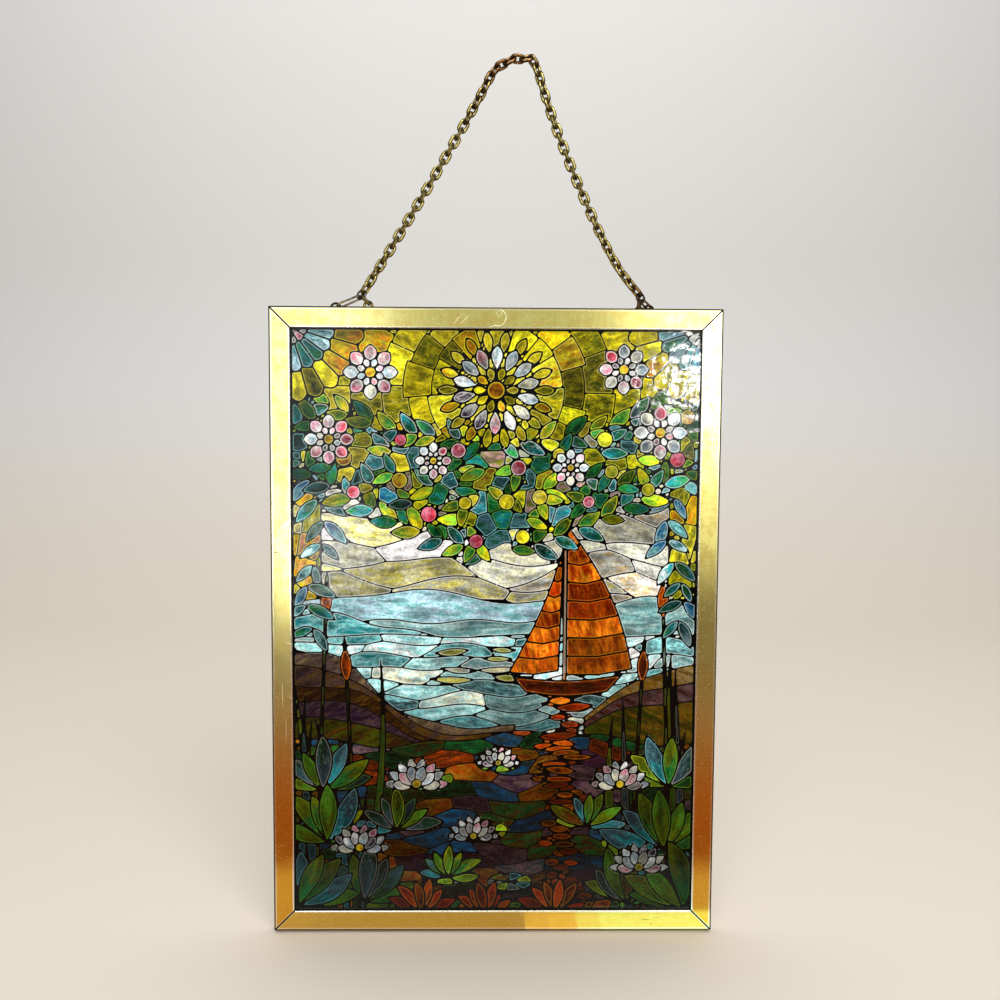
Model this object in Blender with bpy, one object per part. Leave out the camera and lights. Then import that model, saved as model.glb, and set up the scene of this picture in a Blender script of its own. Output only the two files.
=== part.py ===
"""Stained glass suncatcher: a printed glass pane in a mitred brass channel frame, hung on a link chain.

The origin is the underside of the chain's top run, where a hook carries it. +X is the viewer's
right, +Y points away from the viewer and +Z is up. Lengths are in metres.
"""

import math

import bpy
import numpy as np
from mathutils import Vector

MM = 0.001
GAP = 0.3 * MM  # between pieces that touch in the real object

# Frame: four mitred lengths of one channel.
FRAME_WIDTH = 215.9 * MM
FRAME_HEIGHT = 304.8 * MM
RAIL_FACE = 10.0 * MM
RAIL_WALL = 1.3 * MM
RAIL_CHAMFER = 0.35 * MM

# Glass pane, held in the channel's groove.
PANE_THICKNESS = 3.0 * MM
PANE_INSET = 2.6 * MM  # from the frame's outer edge to the pane's edge
PANE_CHAMFER = 0.4 * MM

# Where the hook carries the chain, from the frame's centreline and top edge.
HANG_X = 11.0 * MM
HANG_Z = 114.0 * MM

# Wire eyes behind the top rail.
EYE_WIRE = 0.9 * MM
EYE_WIDTH = 5.6 * MM
EYE_ARCH_Z = -0.2 * MM  # centre of the arch, from the frame's top edge
EYE_LEG = 8.0 * MM

# Long narrow links between the eyes and the rings.
LONG_WIRE = 0.85 * MM
LONG_WIDTH = 3.7 * MM
LONG_ROLL = 58.0  # degrees, out of the frame's plane

# Jump rings between the long links and the chain.
RING_WIRE = 0.85 * MM
RING_DIAMETER = 5.4 * MM

# Chain: oval wire links, every second one turned.
CHAIN_LINKS = 62
CHAIN_WIRE = 1.30 * MM
CHAIN_WIDTH = 4.8 * MM
WELD = 0.16 * MM  # how deep two links of a pair meet
TAIL_WIRE = 1.05 * MM  # the spare links are of thinner wire
TAIL_PITCH = 4.2 * MM
# The chain's turn about its own line, in degrees, at these link numbers.
TWIST_LINKS = (0, 6, 18, 24, 30, 33, 48, 54, 61)
TWIST_DEGREES = (122, 90, 90, 48, 45, 40, 90, 45, 32)

# The chain's line over the hook, from the frame's centreline and top edge, in millimetres.
TOP_RUN = ((-1.6, 111.6), (4.0, 115.2), (8.0, 117.3), (12.2, 116.7), (15.7, 117.4), (18.5, 112.4))
LEFT_SAG = 1.0 * MM
RIGHT_SAG = 4.4 * MM
RIGHT_LOW_END = 1.4  # the right leg bends most near its lower end

# Each side's fittings: the eye's centreline, where on the eye's arch the long link sits, the
# long link's length and slope, and the ring's slope. Slopes are degrees above +X. The spare
# links sit tail_seat degrees from the ring's lowest side towards its long link. The upper one
# hangs along tail_line and the lower one along tail_fall.
SIDES = {
    "left": {
        "eye_x": -77.0 * MM, "seat": 45, "length": 12.7 * MM, "slope": 23, "ring_slope": 50,
        "tail_seat": 15, "tail_line": (0.563, 0.551, -0.615), "tail_fall": (0.0, 0.3, -1.0),
    },
    "right": {
        "eye_x": 73.1 * MM, "seat": 55, "length": 6.6 * MM, "slope": 138, "ring_slope": 116,
        "tail_seat": 38, "tail_line": (0.0, 0.45, -0.85), "tail_fall": (0.25, 0.15, -1.0),
    },
}

RAIL_DEPTH = 2 * RAIL_WALL + PANE_THICKNESS + 2 * GAP
REAR_Y = -(EYE_WIRE / 2 + GAP)
FRONT_Y = REAR_Y - RAIL_DEPTH
FRAME_X = -HANG_X
TOP_Z = -HANG_Z
BOTTOM_Z = TOP_Z - FRAME_HEIGHT
BACKWARD = np.array((0.0, 1.0, 0.0))


def clear_scene():
    for item in list(bpy.data.objects):
        bpy.data.objects.remove(item)


def make_material(name, colour, roughness, metallic):
    made = bpy.data.materials.new(name)
    made.use_nodes = True
    shader = made.node_tree.nodes["Principled BSDF"]
    shader.inputs["Base Color"].default_value = (*colour, 1.0)
    shader.inputs["Roughness"].default_value = roughness
    shader.inputs["Metallic"].default_value = metallic
    return made


def make_object(name, points, faces, material):
    mesh = bpy.data.meshes.new(name)
    mesh.from_pydata([tuple(map(float, point)) for point in points], [], faces)
    mesh.materials.append(material)
    made = bpy.data.objects.new(name, mesh)
    bpy.context.scene.collection.objects.link(made)
    return made


def smooth_round_parts(made):
    made.data.shade_smooth()
    made.data.set_sharp_from_angle(angle=math.radians(50))


def in_plane(across, up):
    """A point from the frame's centreline and top edge, in the chain's plane."""
    return np.array((FRAME_X + across, 0.0, TOP_Z + up))


def direction(degrees):
    return np.array((math.cos(math.radians(degrees)), 0.0, math.sin(math.radians(degrees))))


def unit(vector):
    return vector / np.linalg.norm(vector)


# Frame


def channel_profile():
    """The channel's outline as (inwards from the outer edge, backwards), round the metal."""
    cut = RAIL_CHAMFER
    front_inner = FRONT_Y + RAIL_WALL
    rear_inner = REAR_Y - RAIL_WALL
    return (
        (0.0, FRONT_Y + cut),
        (cut, FRONT_Y),
        (RAIL_FACE - cut, FRONT_Y),
        (RAIL_FACE, FRONT_Y + cut),
        (RAIL_FACE, front_inner),
        (RAIL_WALL, front_inner),
        (RAIL_WALL, rear_inner),
        (RAIL_FACE, rear_inner),
        (RAIL_FACE, REAR_Y - cut),
        (RAIL_FACE - cut, REAR_Y),
        (cut, REAR_Y),
        (0.0, REAR_Y - cut),
    )


def make_rail(name, middle, along, inwards, length, material):
    """The channel's profile drawn out along one side, with both ends cut back to the mitre."""
    profile = channel_profile()
    mitre_gap = GAP / math.sqrt(2)
    points = []
    for end in (-1, 1):
        for inset, y in profile:
            reach = end * (length / 2 - inset - mitre_gap)
            place = middle + along * reach + inwards * inset
            points.append((place.x, y, place.z))
    count = len(profile)
    sides = [(i, (i + 1) % count, count + (i + 1) % count, count + i) for i in range(count)]
    caps = [tuple(range(count))[::-1], tuple(range(count, 2 * count))]
    if along.cross(inwards).y < 0:
        sides = [face[::-1] for face in sides]
        caps = [face[::-1] for face in caps]
    return make_object(name, points, sides + caps, material)


def make_frame(material):
    x_axis = Vector((1, 0, 0))
    z_axis = Vector((0, 0, 1))
    middle_z = (TOP_Z + BOTTOM_Z) / 2
    half = FRAME_WIDTH / 2
    make_rail("top_rail", Vector((FRAME_X, 0, TOP_Z)), x_axis, -z_axis, FRAME_WIDTH, material)
    make_rail("bottom_rail", Vector((FRAME_X, 0, BOTTOM_Z)), x_axis, z_axis, FRAME_WIDTH, material)
    make_rail("left_rail", Vector((FRAME_X - half, 0, middle_z)), z_axis, x_axis, FRAME_HEIGHT, material)
    make_rail("right_rail", Vector((FRAME_X + half, 0, middle_z)), z_axis, -x_axis, FRAME_HEIGHT, material)


def make_pane(material):
    """A slab with ground edges: a rectangle at each face, set in by the chamfer, and two between."""
    half_width = FRAME_WIDTH / 2 - PANE_INSET
    half_height = FRAME_HEIGHT / 2 - PANE_INSET
    front = FRONT_Y + RAIL_WALL + GAP
    back = front + PANE_THICKNESS
    rings = (
        (front, PANE_CHAMFER),
        (front + PANE_CHAMFER, 0.0),
        (back - PANE_CHAMFER, 0.0),
        (back, PANE_CHAMFER),
    )
    middle_z = (TOP_Z + BOTTOM_Z) / 2
    points = []
    for y, inset in rings:
        for side_x, side_z in ((-1, -1), (1, -1), (1, 1), (-1, 1)):
            across = side_x * (half_width - inset)
            up = side_z * (half_height - inset)
            points.append((FRAME_X + across, y, middle_z + up))
    faces = [(0, 1, 2, 3), (15, 14, 13, 12)]
    for ring in range(3):
        for corner in range(4):
            after = (corner + 1) % 4
            first = 4 * ring
            faces.append((first + after, first + corner, first + 4 + corner, first + 4 + after))
    return make_object("glass_pane", points, faces, material)


# Wire pieces


def tube(centres, inner, binormal, wire, sides, closed):
    """A wire of round section along centres. inner points to the inside of the bend at each one."""
    angles = np.arange(sides) * 2 * math.pi / sides
    ring = (
        np.cos(angles)[None, :, None] * inner[:, None, :]
        + np.sin(angles)[None, :, None] * binormal[None, None, :]
    )
    points = (centres[:, None, :] + ring * wire / 2).reshape(-1, 3)
    count = len(centres)
    faces = []
    for i in range(count if closed else count - 1):
        after = (i + 1) % count
        for j in range(sides):
            beside = (j + 1) % sides
            faces.append((i * sides + j, i * sides + beside, after * sides + beside, after * sides + j))
    if not closed:
        faces.append(tuple(range(sides))[::-1])
        faces.append(tuple(range((count - 1) * sides, count * sides)))
    return points, faces


def width_axis(line, roll):
    """The direction of a link's width: in the frame's plane at roll 0, towards +Y at 90 degrees."""
    normal = unit(np.cross(line, BACKWARD))
    turn = math.radians(roll)
    return math.cos(turn) * normal + math.sin(turn) * np.cross(normal, line)


def link_shape(start, end, gaps, wire, width, across, segments, sides):
    """A closed oval of wire hooked between two joints, with its width along across.

    The middle of each end bar lies half a wire and half a gap outside its joint. Two half rounds
    of the link's width are joined by straight runs.
    """
    line = unit(end - start)
    first = start - line * (wire + gaps[0]) / 2
    last = end + line * (wire + gaps[1]) / 2
    bend = min((width - wire) / 2, np.linalg.norm(last - first) / 2)
    angles = np.linspace(-math.pi / 2, math.pi / 2, segments + 1)
    cosines = np.cos(angles)[:, None]
    sines = np.sin(angles)[:, None]
    far = cosines * line + sines * across
    near = -cosines * line - sines * across
    centres = np.concatenate((last - line * bend + far * bend, first + line * bend + near * bend))
    outward = np.concatenate((far, near))
    return tube(centres, -outward, np.cross(line, across), wire, sides, True)


def ring_shape(start, end, across):
    """A round link: a circle whose end bars lie just outside the two joints."""
    line = unit(end - start)
    first = start - line * (RING_WIRE + GAP) / 2
    last = end + line * (RING_WIRE + GAP) / 2
    centre = (first + last) / 2
    angles = np.arange(14) * 2 * math.pi / 14
    outward = np.cos(angles)[:, None] * line + np.sin(angles)[:, None] * across
    radius = np.linalg.norm(last - first) / 2
    return tube(centre + outward * radius, -outward, np.cross(line, across), RING_WIRE, 6, True)


def make_eye(name, centre, material):
    """Two straight legs down the back of the rail, and a half round between their tops."""
    radius = (EYE_WIDTH - EYE_WIRE) / 2
    angles = np.linspace(0, math.pi, 9)
    outward = np.stack((np.cos(angles), np.zeros(9), np.sin(angles)), axis=1)
    arch = centre + outward * radius
    down = np.array((0.0, 0.0, -EYE_LEG))
    centres = np.concatenate((arch[:1] + down, arch, arch[-1:] + down))
    outward = np.concatenate((outward[:1], outward, outward[-1:]))
    points, faces = tube(centres, -outward, -BACKWARD, EYE_WIRE, 8, False)
    made = make_object(name, points, faces, material)
    smooth_round_parts(made)


def make_link_pair(name, shapes, material):
    """Two hooked links joined where they touch. The second one stays as a hidden guide."""
    guide = make_object(name + ".guide", *shapes[1], material)
    guide.hide_render = True
    guide.display_type = "WIRE"
    made = make_object(name, *shapes[0], material)
    union = made.modifiers.new("join", "BOOLEAN")
    union.operation = "UNION"
    union.solver = "EXACT"
    union.object = guide
    smooth_round_parts(made)


def chain_link(start, end, gaps, across, wire=CHAIN_WIRE):
    return link_shape(start, end, gaps, wire, CHAIN_WIDTH, across, 4, 5)


def make_tail(name, sizes, ring_start, ring_end, ring_across, material):
    """Two spare links that hang from the lower side of a ring, back and down behind the rail."""
    line = unit(ring_end - ring_start)
    lower = ring_across if ring_across[2] < 0 else -ring_across
    turn = math.radians(sizes["tail_seat"])
    seat = math.cos(turn) * lower - math.sin(turn) * line
    along_ring = math.cos(turn) * line + math.sin(turn) * lower
    wire = (ring_start + ring_end) / 2 + seat * (RING_DIAMETER - RING_WIRE) / 2
    leaning = unit(np.array(sizes["tail_line"]))
    first = wire - leaning * (RING_WIRE + GAP) / 2
    second = first + leaning * TAIL_PITCH
    third = second + unit(np.array(sizes["tail_fall"])) * TAIL_PITCH
    across = unit(np.cross(leaning, along_ring))
    turned = unit(np.cross(across, third - second))
    shapes = (
        chain_link(first, second, (GAP, -WELD), across, TAIL_WIRE),
        chain_link(second, third, (-WELD, GAP), turned, TAIL_WIRE),
    )
    make_link_pair(name, shapes, material)


def make_fittings(side, sizes, materials):
    """One side's eye, long link, ring and spare links. Returns the joint where the chain begins."""
    centre = in_plane(sizes["eye_x"], EYE_ARCH_Z)
    make_eye(side + "_eye", centre, materials["fitting"])
    turn = -1 if side == "left" else 1
    seat_radius = (EYE_WIDTH - EYE_WIRE) / 2 - EYE_WIRE / 2 - LONG_WIRE / 2 - GAP
    seat = centre + direction(sizes["seat"]) * seat_radius
    slope = direction(sizes["slope"])
    shift = (LONG_WIRE + GAP) / 2
    start = seat + slope * shift
    end = seat + slope * (sizes["length"] - LONG_WIRE - shift)
    across = width_axis(slope, turn * LONG_ROLL)
    shape = link_shape(start, end, (GAP, GAP), LONG_WIRE, LONG_WIDTH, across, 5, 6)
    smooth_round_parts(make_object(side + "_long_link", *shape, materials["fitting"]))
    ring_line = direction(sizes["ring_slope"])
    chain_start = end + ring_line * (RING_DIAMETER - 2 * RING_WIRE - GAP)
    across = width_axis(ring_line, turn * (LONG_ROLL - 90))
    smooth_round_parts(
        make_object(side + "_ring", *ring_shape(end, chain_start, across), materials["fitting"])
    )
    make_tail(side + "_spare_links", sizes, end, chain_start, across, materials["chain"])
    return chain_start


# Chain


def sagging_leg(start, end, sag, low_end):
    """Points from start to end, hanging below the chord by sag in its middle, and by more
    towards the end as low_end grows."""
    share = np.linspace(0, 1, 9)[:, None]
    chord = end - start
    below = unit(np.cross(chord, BACKWARD))
    below = below if below[2] < 0 else -below
    depth = sag * 4 * share * (1 - share) * (1 + low_end * share**4)
    return start + chord * share + below * depth


def smooth_line(knots, steps):
    """A Catmull-Rom curve through the knots."""
    padded = np.concatenate((2 * knots[:1] - knots[1:2], knots, 2 * knots[-1:] - knots[-2:-1]))
    t = (np.arange(steps) / steps)[:, None]
    runs = []
    for i in range(len(knots) - 1):
        a, b, c, d = padded[i : i + 4]
        runs.append(
            0.5
            * (
                2 * b
                + (c - a) * t
                + (2 * a - 5 * b + 4 * c - d) * t**2
                + (3 * b - a - 3 * c + d) * t**3
            )
        )
    return np.concatenate((*runs, knots[-1:]))


def chain_joints(start, end):
    """The places where the links hook together, evenly spaced along the chain's line."""
    top = np.array([in_plane(x * MM, z * MM) for x, z in TOP_RUN])
    left = sagging_leg(start, top[0], LEFT_SAG, 0.0)
    right = sagging_leg(top[-1], end, RIGHT_SAG, RIGHT_LOW_END)
    line = smooth_line(np.concatenate((left[:-1], top, right[1:])), 24)
    along = np.concatenate(([0], np.cumsum(np.linalg.norm(np.diff(line, axis=0), axis=1))))
    even = np.linspace(0, along[-1], CHAIN_LINKS + 1)
    return np.stack([np.interp(even, along, line[:, axis]) for axis in range(3)], axis=1)


def make_chain(start, end, material):
    joints = chain_joints(start, end)
    numbers = np.arange(CHAIN_LINKS)
    rolls = np.interp(numbers, TWIST_LINKS, TWIST_DEGREES) - 90 * (numbers % 2)
    for first in range(0, CHAIN_LINKS, 2):
        shapes = []
        for number, gaps in ((first, (GAP, -WELD)), (first + 1, (-WELD, GAP))):
            across = width_axis(unit(joints[number + 1] - joints[number]), rolls[number])
            shapes.append(chain_link(joints[number], joints[number + 1], gaps, across))
        make_link_pair(f"chain_links_{first // 2 + 1:02d}", shapes, material)


def make_suncatcher():
    clear_scene()
    materials = {
        "frame": make_material("frame_brass", (0.72, 0.55, 0.20), 0.32, 1.0),
        "glass": make_material("printed_glass", (0.20, 0.27, 0.16), 0.12, 0.0),
        "chain": make_material("chain_brass", (0.50, 0.40, 0.14), 0.30, 1.0),
        "fitting": make_material("fitting_metal", (0.45, 0.38, 0.34), 0.35, 1.0),
    }
    make_frame(materials["frame"])
    make_pane(materials["glass"])
    start = make_fittings("left", SIDES["left"], materials)
    end = make_fittings("right", SIDES["right"], materials)
    make_chain(start, end, materials["chain"])


make_suncatcher()
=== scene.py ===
import math

import bpy
import numpy as np
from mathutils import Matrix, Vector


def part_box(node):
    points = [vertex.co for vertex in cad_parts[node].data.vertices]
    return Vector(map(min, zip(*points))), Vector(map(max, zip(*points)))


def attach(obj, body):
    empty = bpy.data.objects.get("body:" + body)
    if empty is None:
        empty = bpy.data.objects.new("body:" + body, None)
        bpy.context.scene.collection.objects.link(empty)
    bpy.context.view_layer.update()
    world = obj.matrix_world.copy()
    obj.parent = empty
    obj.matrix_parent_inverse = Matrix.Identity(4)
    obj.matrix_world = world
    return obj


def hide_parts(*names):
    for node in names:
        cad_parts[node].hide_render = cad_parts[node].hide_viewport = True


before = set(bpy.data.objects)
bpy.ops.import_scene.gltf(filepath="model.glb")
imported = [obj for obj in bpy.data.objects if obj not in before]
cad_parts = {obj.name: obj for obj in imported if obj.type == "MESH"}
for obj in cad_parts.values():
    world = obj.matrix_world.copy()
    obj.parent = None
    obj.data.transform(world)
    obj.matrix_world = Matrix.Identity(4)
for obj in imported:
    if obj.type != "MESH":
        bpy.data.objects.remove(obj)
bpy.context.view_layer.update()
mm = 0.001
rng = np.random.default_rng(41)  # every random draw comes from it, in the order of the script


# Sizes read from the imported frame, in metres
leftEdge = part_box("left_rail")[0].x
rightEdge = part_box("right_rail")[1].x
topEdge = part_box("top_rail")[1].z
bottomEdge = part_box("bottom_rail")[0].z
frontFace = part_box("top_rail")[0].y
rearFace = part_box("top_rail")[1].y
middleX = (leftEdge + rightEdge) / 2
middleZ = (topEdge + bottomEdge) / 2
backward = np.array((0.0, 1.0, 0.0))


# Small tools

def unit(vector):
    return vector / np.linalg.norm(vector)


def gridQuads(rows, columns, closedRows=False, closedColumns=False):
    # Quads between neighbours on a grid of points that is numbered row by row
    row, column = np.meshgrid(
        np.arange(rows if closedRows else rows - 1),
        np.arange(columns if closedColumns else columns - 1),
        indexing="ij",
    )
    nextRow = (row + 1) % rows
    nextColumn = (column + 1) % columns
    corners = (
        row * columns + column,
        row * columns + nextColumn,
        nextRow * columns + nextColumn,
        nextRow * columns + column,
    )
    return np.stack(corners, axis=-1).reshape(-1, 4)


def addPiece(name, points, faces, finish, attributes=(), sharpAngle=40):
    mesh = bpy.data.meshes.new(name)
    mesh.from_pydata(np.asarray(points).reshape(-1, 3).tolist(), [], [list(face) for face in faces])
    for label, kind, values in attributes:
        layer = mesh.attributes.new(label, kind, "POINT")
        field = {"FLOAT": "value", "FLOAT_VECTOR": "vector", "FLOAT_COLOR": "color"}[kind]
        layer.data.foreach_set(field, np.asarray(values, np.float32).ravel())
    mesh.materials.append(finish)
    mesh.shade_smooth()
    mesh.set_sharp_from_angle(angle=math.radians(sharpAngle))
    made = bpy.data.objects.new(name, mesh)
    bpy.context.scene.collection.objects.link(made)
    return made


def standFor(piece, slot, *nodes):
    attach(piece, "root")
    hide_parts(*nodes)


# Node tools

def newFinish(name, **values):
    finish = bpy.data.materials.new(name)
    finish.use_nodes = True
    tree = finish.node_tree
    shader = tree.nodes["Principled BSDF"]
    for socket, value in values.items():
        shader.inputs[socket.replace("_", " ")].default_value = value
    return finish, tree, shader


def addNode(tree, kind, inputs=(), **settings):
    made = tree.nodes.new(kind)
    for name, value in settings.items():
        setattr(made, name, value)
    for key, value in dict(inputs).items():
        if isinstance(value, bpy.types.NodeSocket):
            tree.links.new(value, made.inputs[key])
        else:
            made.inputs[key].default_value = value
    return made


def maths(tree, operation, *values):
    return addNode(tree, "ShaderNodeMath", enumerate(values), operation=operation).outputs[0]


def times(tree, first, second):
    return maths(tree, "MULTIPLY", first, second)


def plusShare(tree, value, share, extra):
    # The value, and a share of something extra added to it
    return maths(tree, "ADD", value, times(tree, extra, share))


def spread(tree, value, low, high, toLow=0.0, toHigh=1.0):
    # A value's range stretched onto another range, eased at both ends
    keys = {"Value": value, "From Min": low, "From Max": high, "To Min": toLow, "To Max": toHigh}
    return addNode(tree, "ShaderNodeMapRange", keys, interpolation_type="SMOOTHSTEP").outputs["Result"]


def blendColours(tree, share, first, second, blend="MIX"):
    # A colour is a socket, or red, green and blue
    keys = {0: share}
    for key, colour in ((6, first), (7, second)):
        keys[key] = (*colour, 1.0) if isinstance(colour, tuple) else colour
    return addNode(tree, "ShaderNodeMix", keys, data_type="RGBA", blend_type=blend).outputs[2]


def noise(tree, vector, scale, detail, roughness=0.5, distortion=0.0):
    keys = {"Vector": vector, "Scale": scale, "Detail": detail}
    keys.update({"Roughness": roughness, "Distortion": distortion})
    return addNode(tree, "ShaderNodeTexNoise", keys).outputs["Fac"]


def mapping(tree, vector, scale):
    return addNode(tree, "ShaderNodeMapping", {"Vector": vector, "Scale": scale}).outputs[0]


def axesOf(tree, vector):
    return addNode(tree, "ShaderNodeSeparateXYZ", {0: vector}).outputs


def objectPlace(tree):
    return addNode(tree, "ShaderNodeTexCoord").outputs["Object"]


def readAttribute(tree, name, output="Vector"):
    return addNode(tree, "ShaderNodeAttribute", attribute_name=name).outputs[output]


def bump(tree, height, strength, distance):
    keys = {"Height": height, "Strength": strength, "Distance": distance}
    return addNode(tree, "ShaderNodeBump", keys).outputs["Normal"]


# Camera, floor and lights

cameraSetup = {
    "place": (-0.01595, -0.48545, -0.17195),
    "turn": (86.0, -0.34, -0.82),  # degrees
    "lens": 36.0,
    "sensor": 36.0,
}

studio = {
    "floorGap": 1.2 * mm,  # below the bottom rail
    "floorFront": -3.0,
    "floorBack": 0.75,  # where the paper starts to climb
    "bendRadius": 0.55,
    "wallHeight": 3.2,
    "halfWidth": 3.5,
    "floorColour": (0.78, 0.70, 0.60),
    "wallColour": (0.80, 0.79, 0.775),
    "nearFloor": (0.30, 0.078, 0.006),  # what the brass and the glass mirror in front of the frame
    "farFloor": (0.10, 0.062, 0.025),
    "worldColour": (0.90, 0.95, 1.0),
    "worldStrength": 0.30,
    # name: (place, aimed at, size, power in watts, colour)
    "lamps": {
        "window_left": ((-0.34, -0.9, -0.066), (-0.10, 0, -0.2), (0.36, 0.552), 1.08, (0.95, 1.0, 1.05)),
        "window_right": ((0.368, -0.9, 0.01), (0.10, 0, -0.12), (0.334, 0.48), 1.48, (1.0, 1.0, 0.95)),
        "sill_right": ((0.385, -0.902, -0.30), (0.10, 0, -0.2), (0.30, 0.13), 0.13, (1.0, 0.98, 0.68)),
        "wall_between": ((0.045, -0.95, 0.02), (0.0, 0, -0.12), (0.42, 0.24), 0.10, (1.0, 1.02, 0.5)),
        "key": ((0.1, -0.8, 0.60), (0.0, 0, -0.25), (0.9, 0.5), 8.0, (1.0, 0.99, 0.96)),
        "glint": ((0.385, -1.5, -0.072), (0.08, 0, -0.14), (0.042, 0.075), 2.2, (1.0, 1.0, 1.0)),
        "rail_glint": ((0.425, -1.48, -0.03), (0.085, 0, -0.14), (0.05, 0.16), 0.34, (0.8, 1.0, 1.3)),
        "low_glint": ((-0.232, -0.9, -0.345), (-0.1, 0, -0.23), (0.08, 0.12), 0.3, (0.95, 1.0, 1.0)),
        "backdrop": ((0.0, 0.35, 1.3), (0.0, 1.25, -0.1), (1.8, 0.8), 15.0, (1.0, 0.99, 0.97)),
    },
    # small lamps at the foot, for the bright patch that the bottom rail mirrors:
    # (across, height, length, power in watts, colour)
    "footLamps": (
        (0.061, -0.4194, 0.112, 0.0035, (1.0, 0.92, 0.3)),
        (0.067, -0.4192, 0.100, 0.0007, (1.0, 0.95, 0.4)),
        (0.074, -0.4190, 0.086, 0.0034, (0.15, 0.9, 1.1)),
        (0.080, -0.4188, 0.074, 0.0022, (0.1, 0.9, 1.2)),
    ),
    "footLampY": -0.0165,
    "footLampDepth": 0.022,
}


def makeCamera():
    data = bpy.data.cameras.new("camera")
    data.lens = cameraSetup["lens"]
    data.sensor_width = cameraSetup["sensor"]
    data.clip_start = 0.01
    made = bpy.data.objects.new("camera", data)
    made.location = cameraSetup["place"]
    made.rotation_euler = [math.radians(angle) for angle in cameraSetup["turn"]]
    bpy.context.scene.collection.objects.link(made)
    bpy.context.scene.camera = made


def makeSweep():
    # The floor runs back level, then climbs through a quarter circle into an upright backdrop
    floor = bottomEdge - studio["floorGap"]
    back, radius = studio["floorBack"], studio["bendRadius"]
    angles = np.linspace(0, math.pi / 2, 17)
    y = np.concatenate(([studio["floorFront"]], back + radius * np.sin(angles), [back + radius]))
    z = np.concatenate(([floor], floor + radius * (1 - np.cos(angles)), [floor + studio["wallHeight"]]))
    x = np.array((-studio["halfWidth"], studio["halfWidth"]))
    points = np.stack(np.broadcast_arrays(x[None, :], y[:, None], z[:, None]), axis=-1)
    finish, tree, shader = newFinish("studio_paper", Roughness=0.75)
    place = objectPlace(tree)
    axes = axesOf(tree, place)
    rise = spread(tree, axes["Z"], floor, floor + 0.35)
    colour = blendColours(tree, rise, studio["floorColour"], studio["wallColour"])
    near = spread(tree, axes["Y"], -0.095, -0.068, 1.0, 0.0)
    far = spread(tree, axes["Y"], -0.60, -0.15, 1.0, 0.0)
    tint = blendColours(tree, far, studio["nearFloor"], studio["farFloor"])
    # the camera sees pale paper everywhere; the brass and the glass mirror the brown tint
    mirrored = maths(tree, "SUBTRACT", 1.0, addNode(tree, "ShaderNodeLightPath").outputs["Is Camera Ray"])
    colour = blendColours(tree, times(tree, near, mirrored), colour, tint)
    tree.links.new(bump(tree, noise(tree, place, 260.0, 4.0), 0.1, 0.1 * mm), shader.inputs["Normal"])
    tree.links.new(colour, shader.inputs["Base Color"])
    sweep = addPiece("studio_sweep", points, gridQuads(len(y), 2), finish)


def makeLights():
    world = bpy.data.worlds.new("studio")
    world.use_nodes = True
    background = world.node_tree.nodes["Background"]
    background.inputs["Color"].default_value = (*studio["worldColour"], 1.0)
    background.inputs["Strength"].default_value = studio["worldStrength"]
    bpy.context.scene.world = world
    bpy.context.scene.view_settings.view_transform = "Standard"
    lamps = dict(studio["lamps"])
    for number, (across, height, length, power, colour) in enumerate(studio["footLamps"], 1):
        place = (across, studio["footLampY"], height)
        target = (across, studio["footLampY"] + mm, 0)  # upwards, and a little back to the rail
        lamps[f"foot_glow_{number}"] = (place, target, (length, studio["footLampDepth"]), power, colour)
    for name, (place, target, size, power, colour) in lamps.items():
        data = bpy.data.lights.new(name, "AREA")
        data.shape = "RECTANGLE"
        data.size, data.size_y = size
        data.energy = power
        data.color = colour
        lamp = bpy.data.objects.new(name, data)
        lamp.location = place
        aim = Vector(target) - Vector(place)
        lamp.rotation_euler = aim.to_track_quat("-Z", "Y").to_euler()
        lamp.visible_camera = False
        bpy.context.scene.collection.objects.link(lamp)


makeCamera()
makeSweep()
makeLights()
print("camera, floor and lights made")


# Frame rails

rails = {
    "face": 10.0 * mm,
    "wall": 1.3 * mm,
    "corner": 0.62 * mm,  # rounding of the outer corners
    "lipCorner": 0.4 * mm,
    "innerCorner": 0.15 * mm,
    "cornerSteps": 5,  # points round each corner
    "mitreGap": 0.16 * mm,
    "steps": 41,  # rows along each rail
    "endRows": (0.0, 0.38, 0.5, 0.9),  # mm from a mitre, where the joint is dark
    "gold": (0.86, 0.76, 0.30),
    "deepGold": (0.68, 0.50, 0.13),
    "footReflectionGold": (0.72, 0.41, 0.055),  # painted reflection: the gold turns deeper towards the foot, as if mirroring a warm surface below
    # painted reflection on the uprights, more orange still near the foot
    "uprightFootReflection": (0.74, 0.36, 0.032),
    "smudge": (0.74, 0.44, 0.13),
    "nick": (0.13, 0.08, 0.03),
    "tick": (0.16, 0.10, 0.03),
    "loop": (1.0, 0.96, 0.70),
    "scratch": (1.0, 0.92, 0.62),
    "fleck": (1.0, 0.93, 0.66),
    # painted highlight of the inner lip and of a thin line inside the outer edge
    "lip": (0.98, 0.95, 0.80),
    # dark of the mitre joints, and painted shade along the outer edges
    "seam": (0.006, 0.004, 0.003),
    "roughness": 0.19,
    # (mm from the middle, mm above the bottom edge, half width, half height, tilt in degrees),
    # and for a loop the side from which it is open
    "loops": ((0.7, 300.0, 3.7, 3.9, -25, -0.1), (1.2, 301.9, 1.3, 1.2, 0, -2)),
    "scratches": (
        (-102.8, 118, 0.16, 7.5, 0), (-101.2, 100.5, 0.14, 6.5, 0), (-99.6, 143.5, 1.7, 0.13, 0),
        (-98.4, 116.5, 1.4, 0.13, 0), (-15.0, 299.1, 4.4, 0.13, 46), (-18.4, 299.2, 4.3, 0.12, 49),
        (-2.2, 295.9, 2.0, 0.13, 18),
    ),
    "ticks": (
        (75.4, 5.5, 2.8, 0.22, 0), (78.4, 3.2, 1.1, 0.18, 0),
        (57.0, 9.3, 2.2, 0.2, 0), (81.0, 6.4, 2.0, 0.1, 0),
    ),
}


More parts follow.
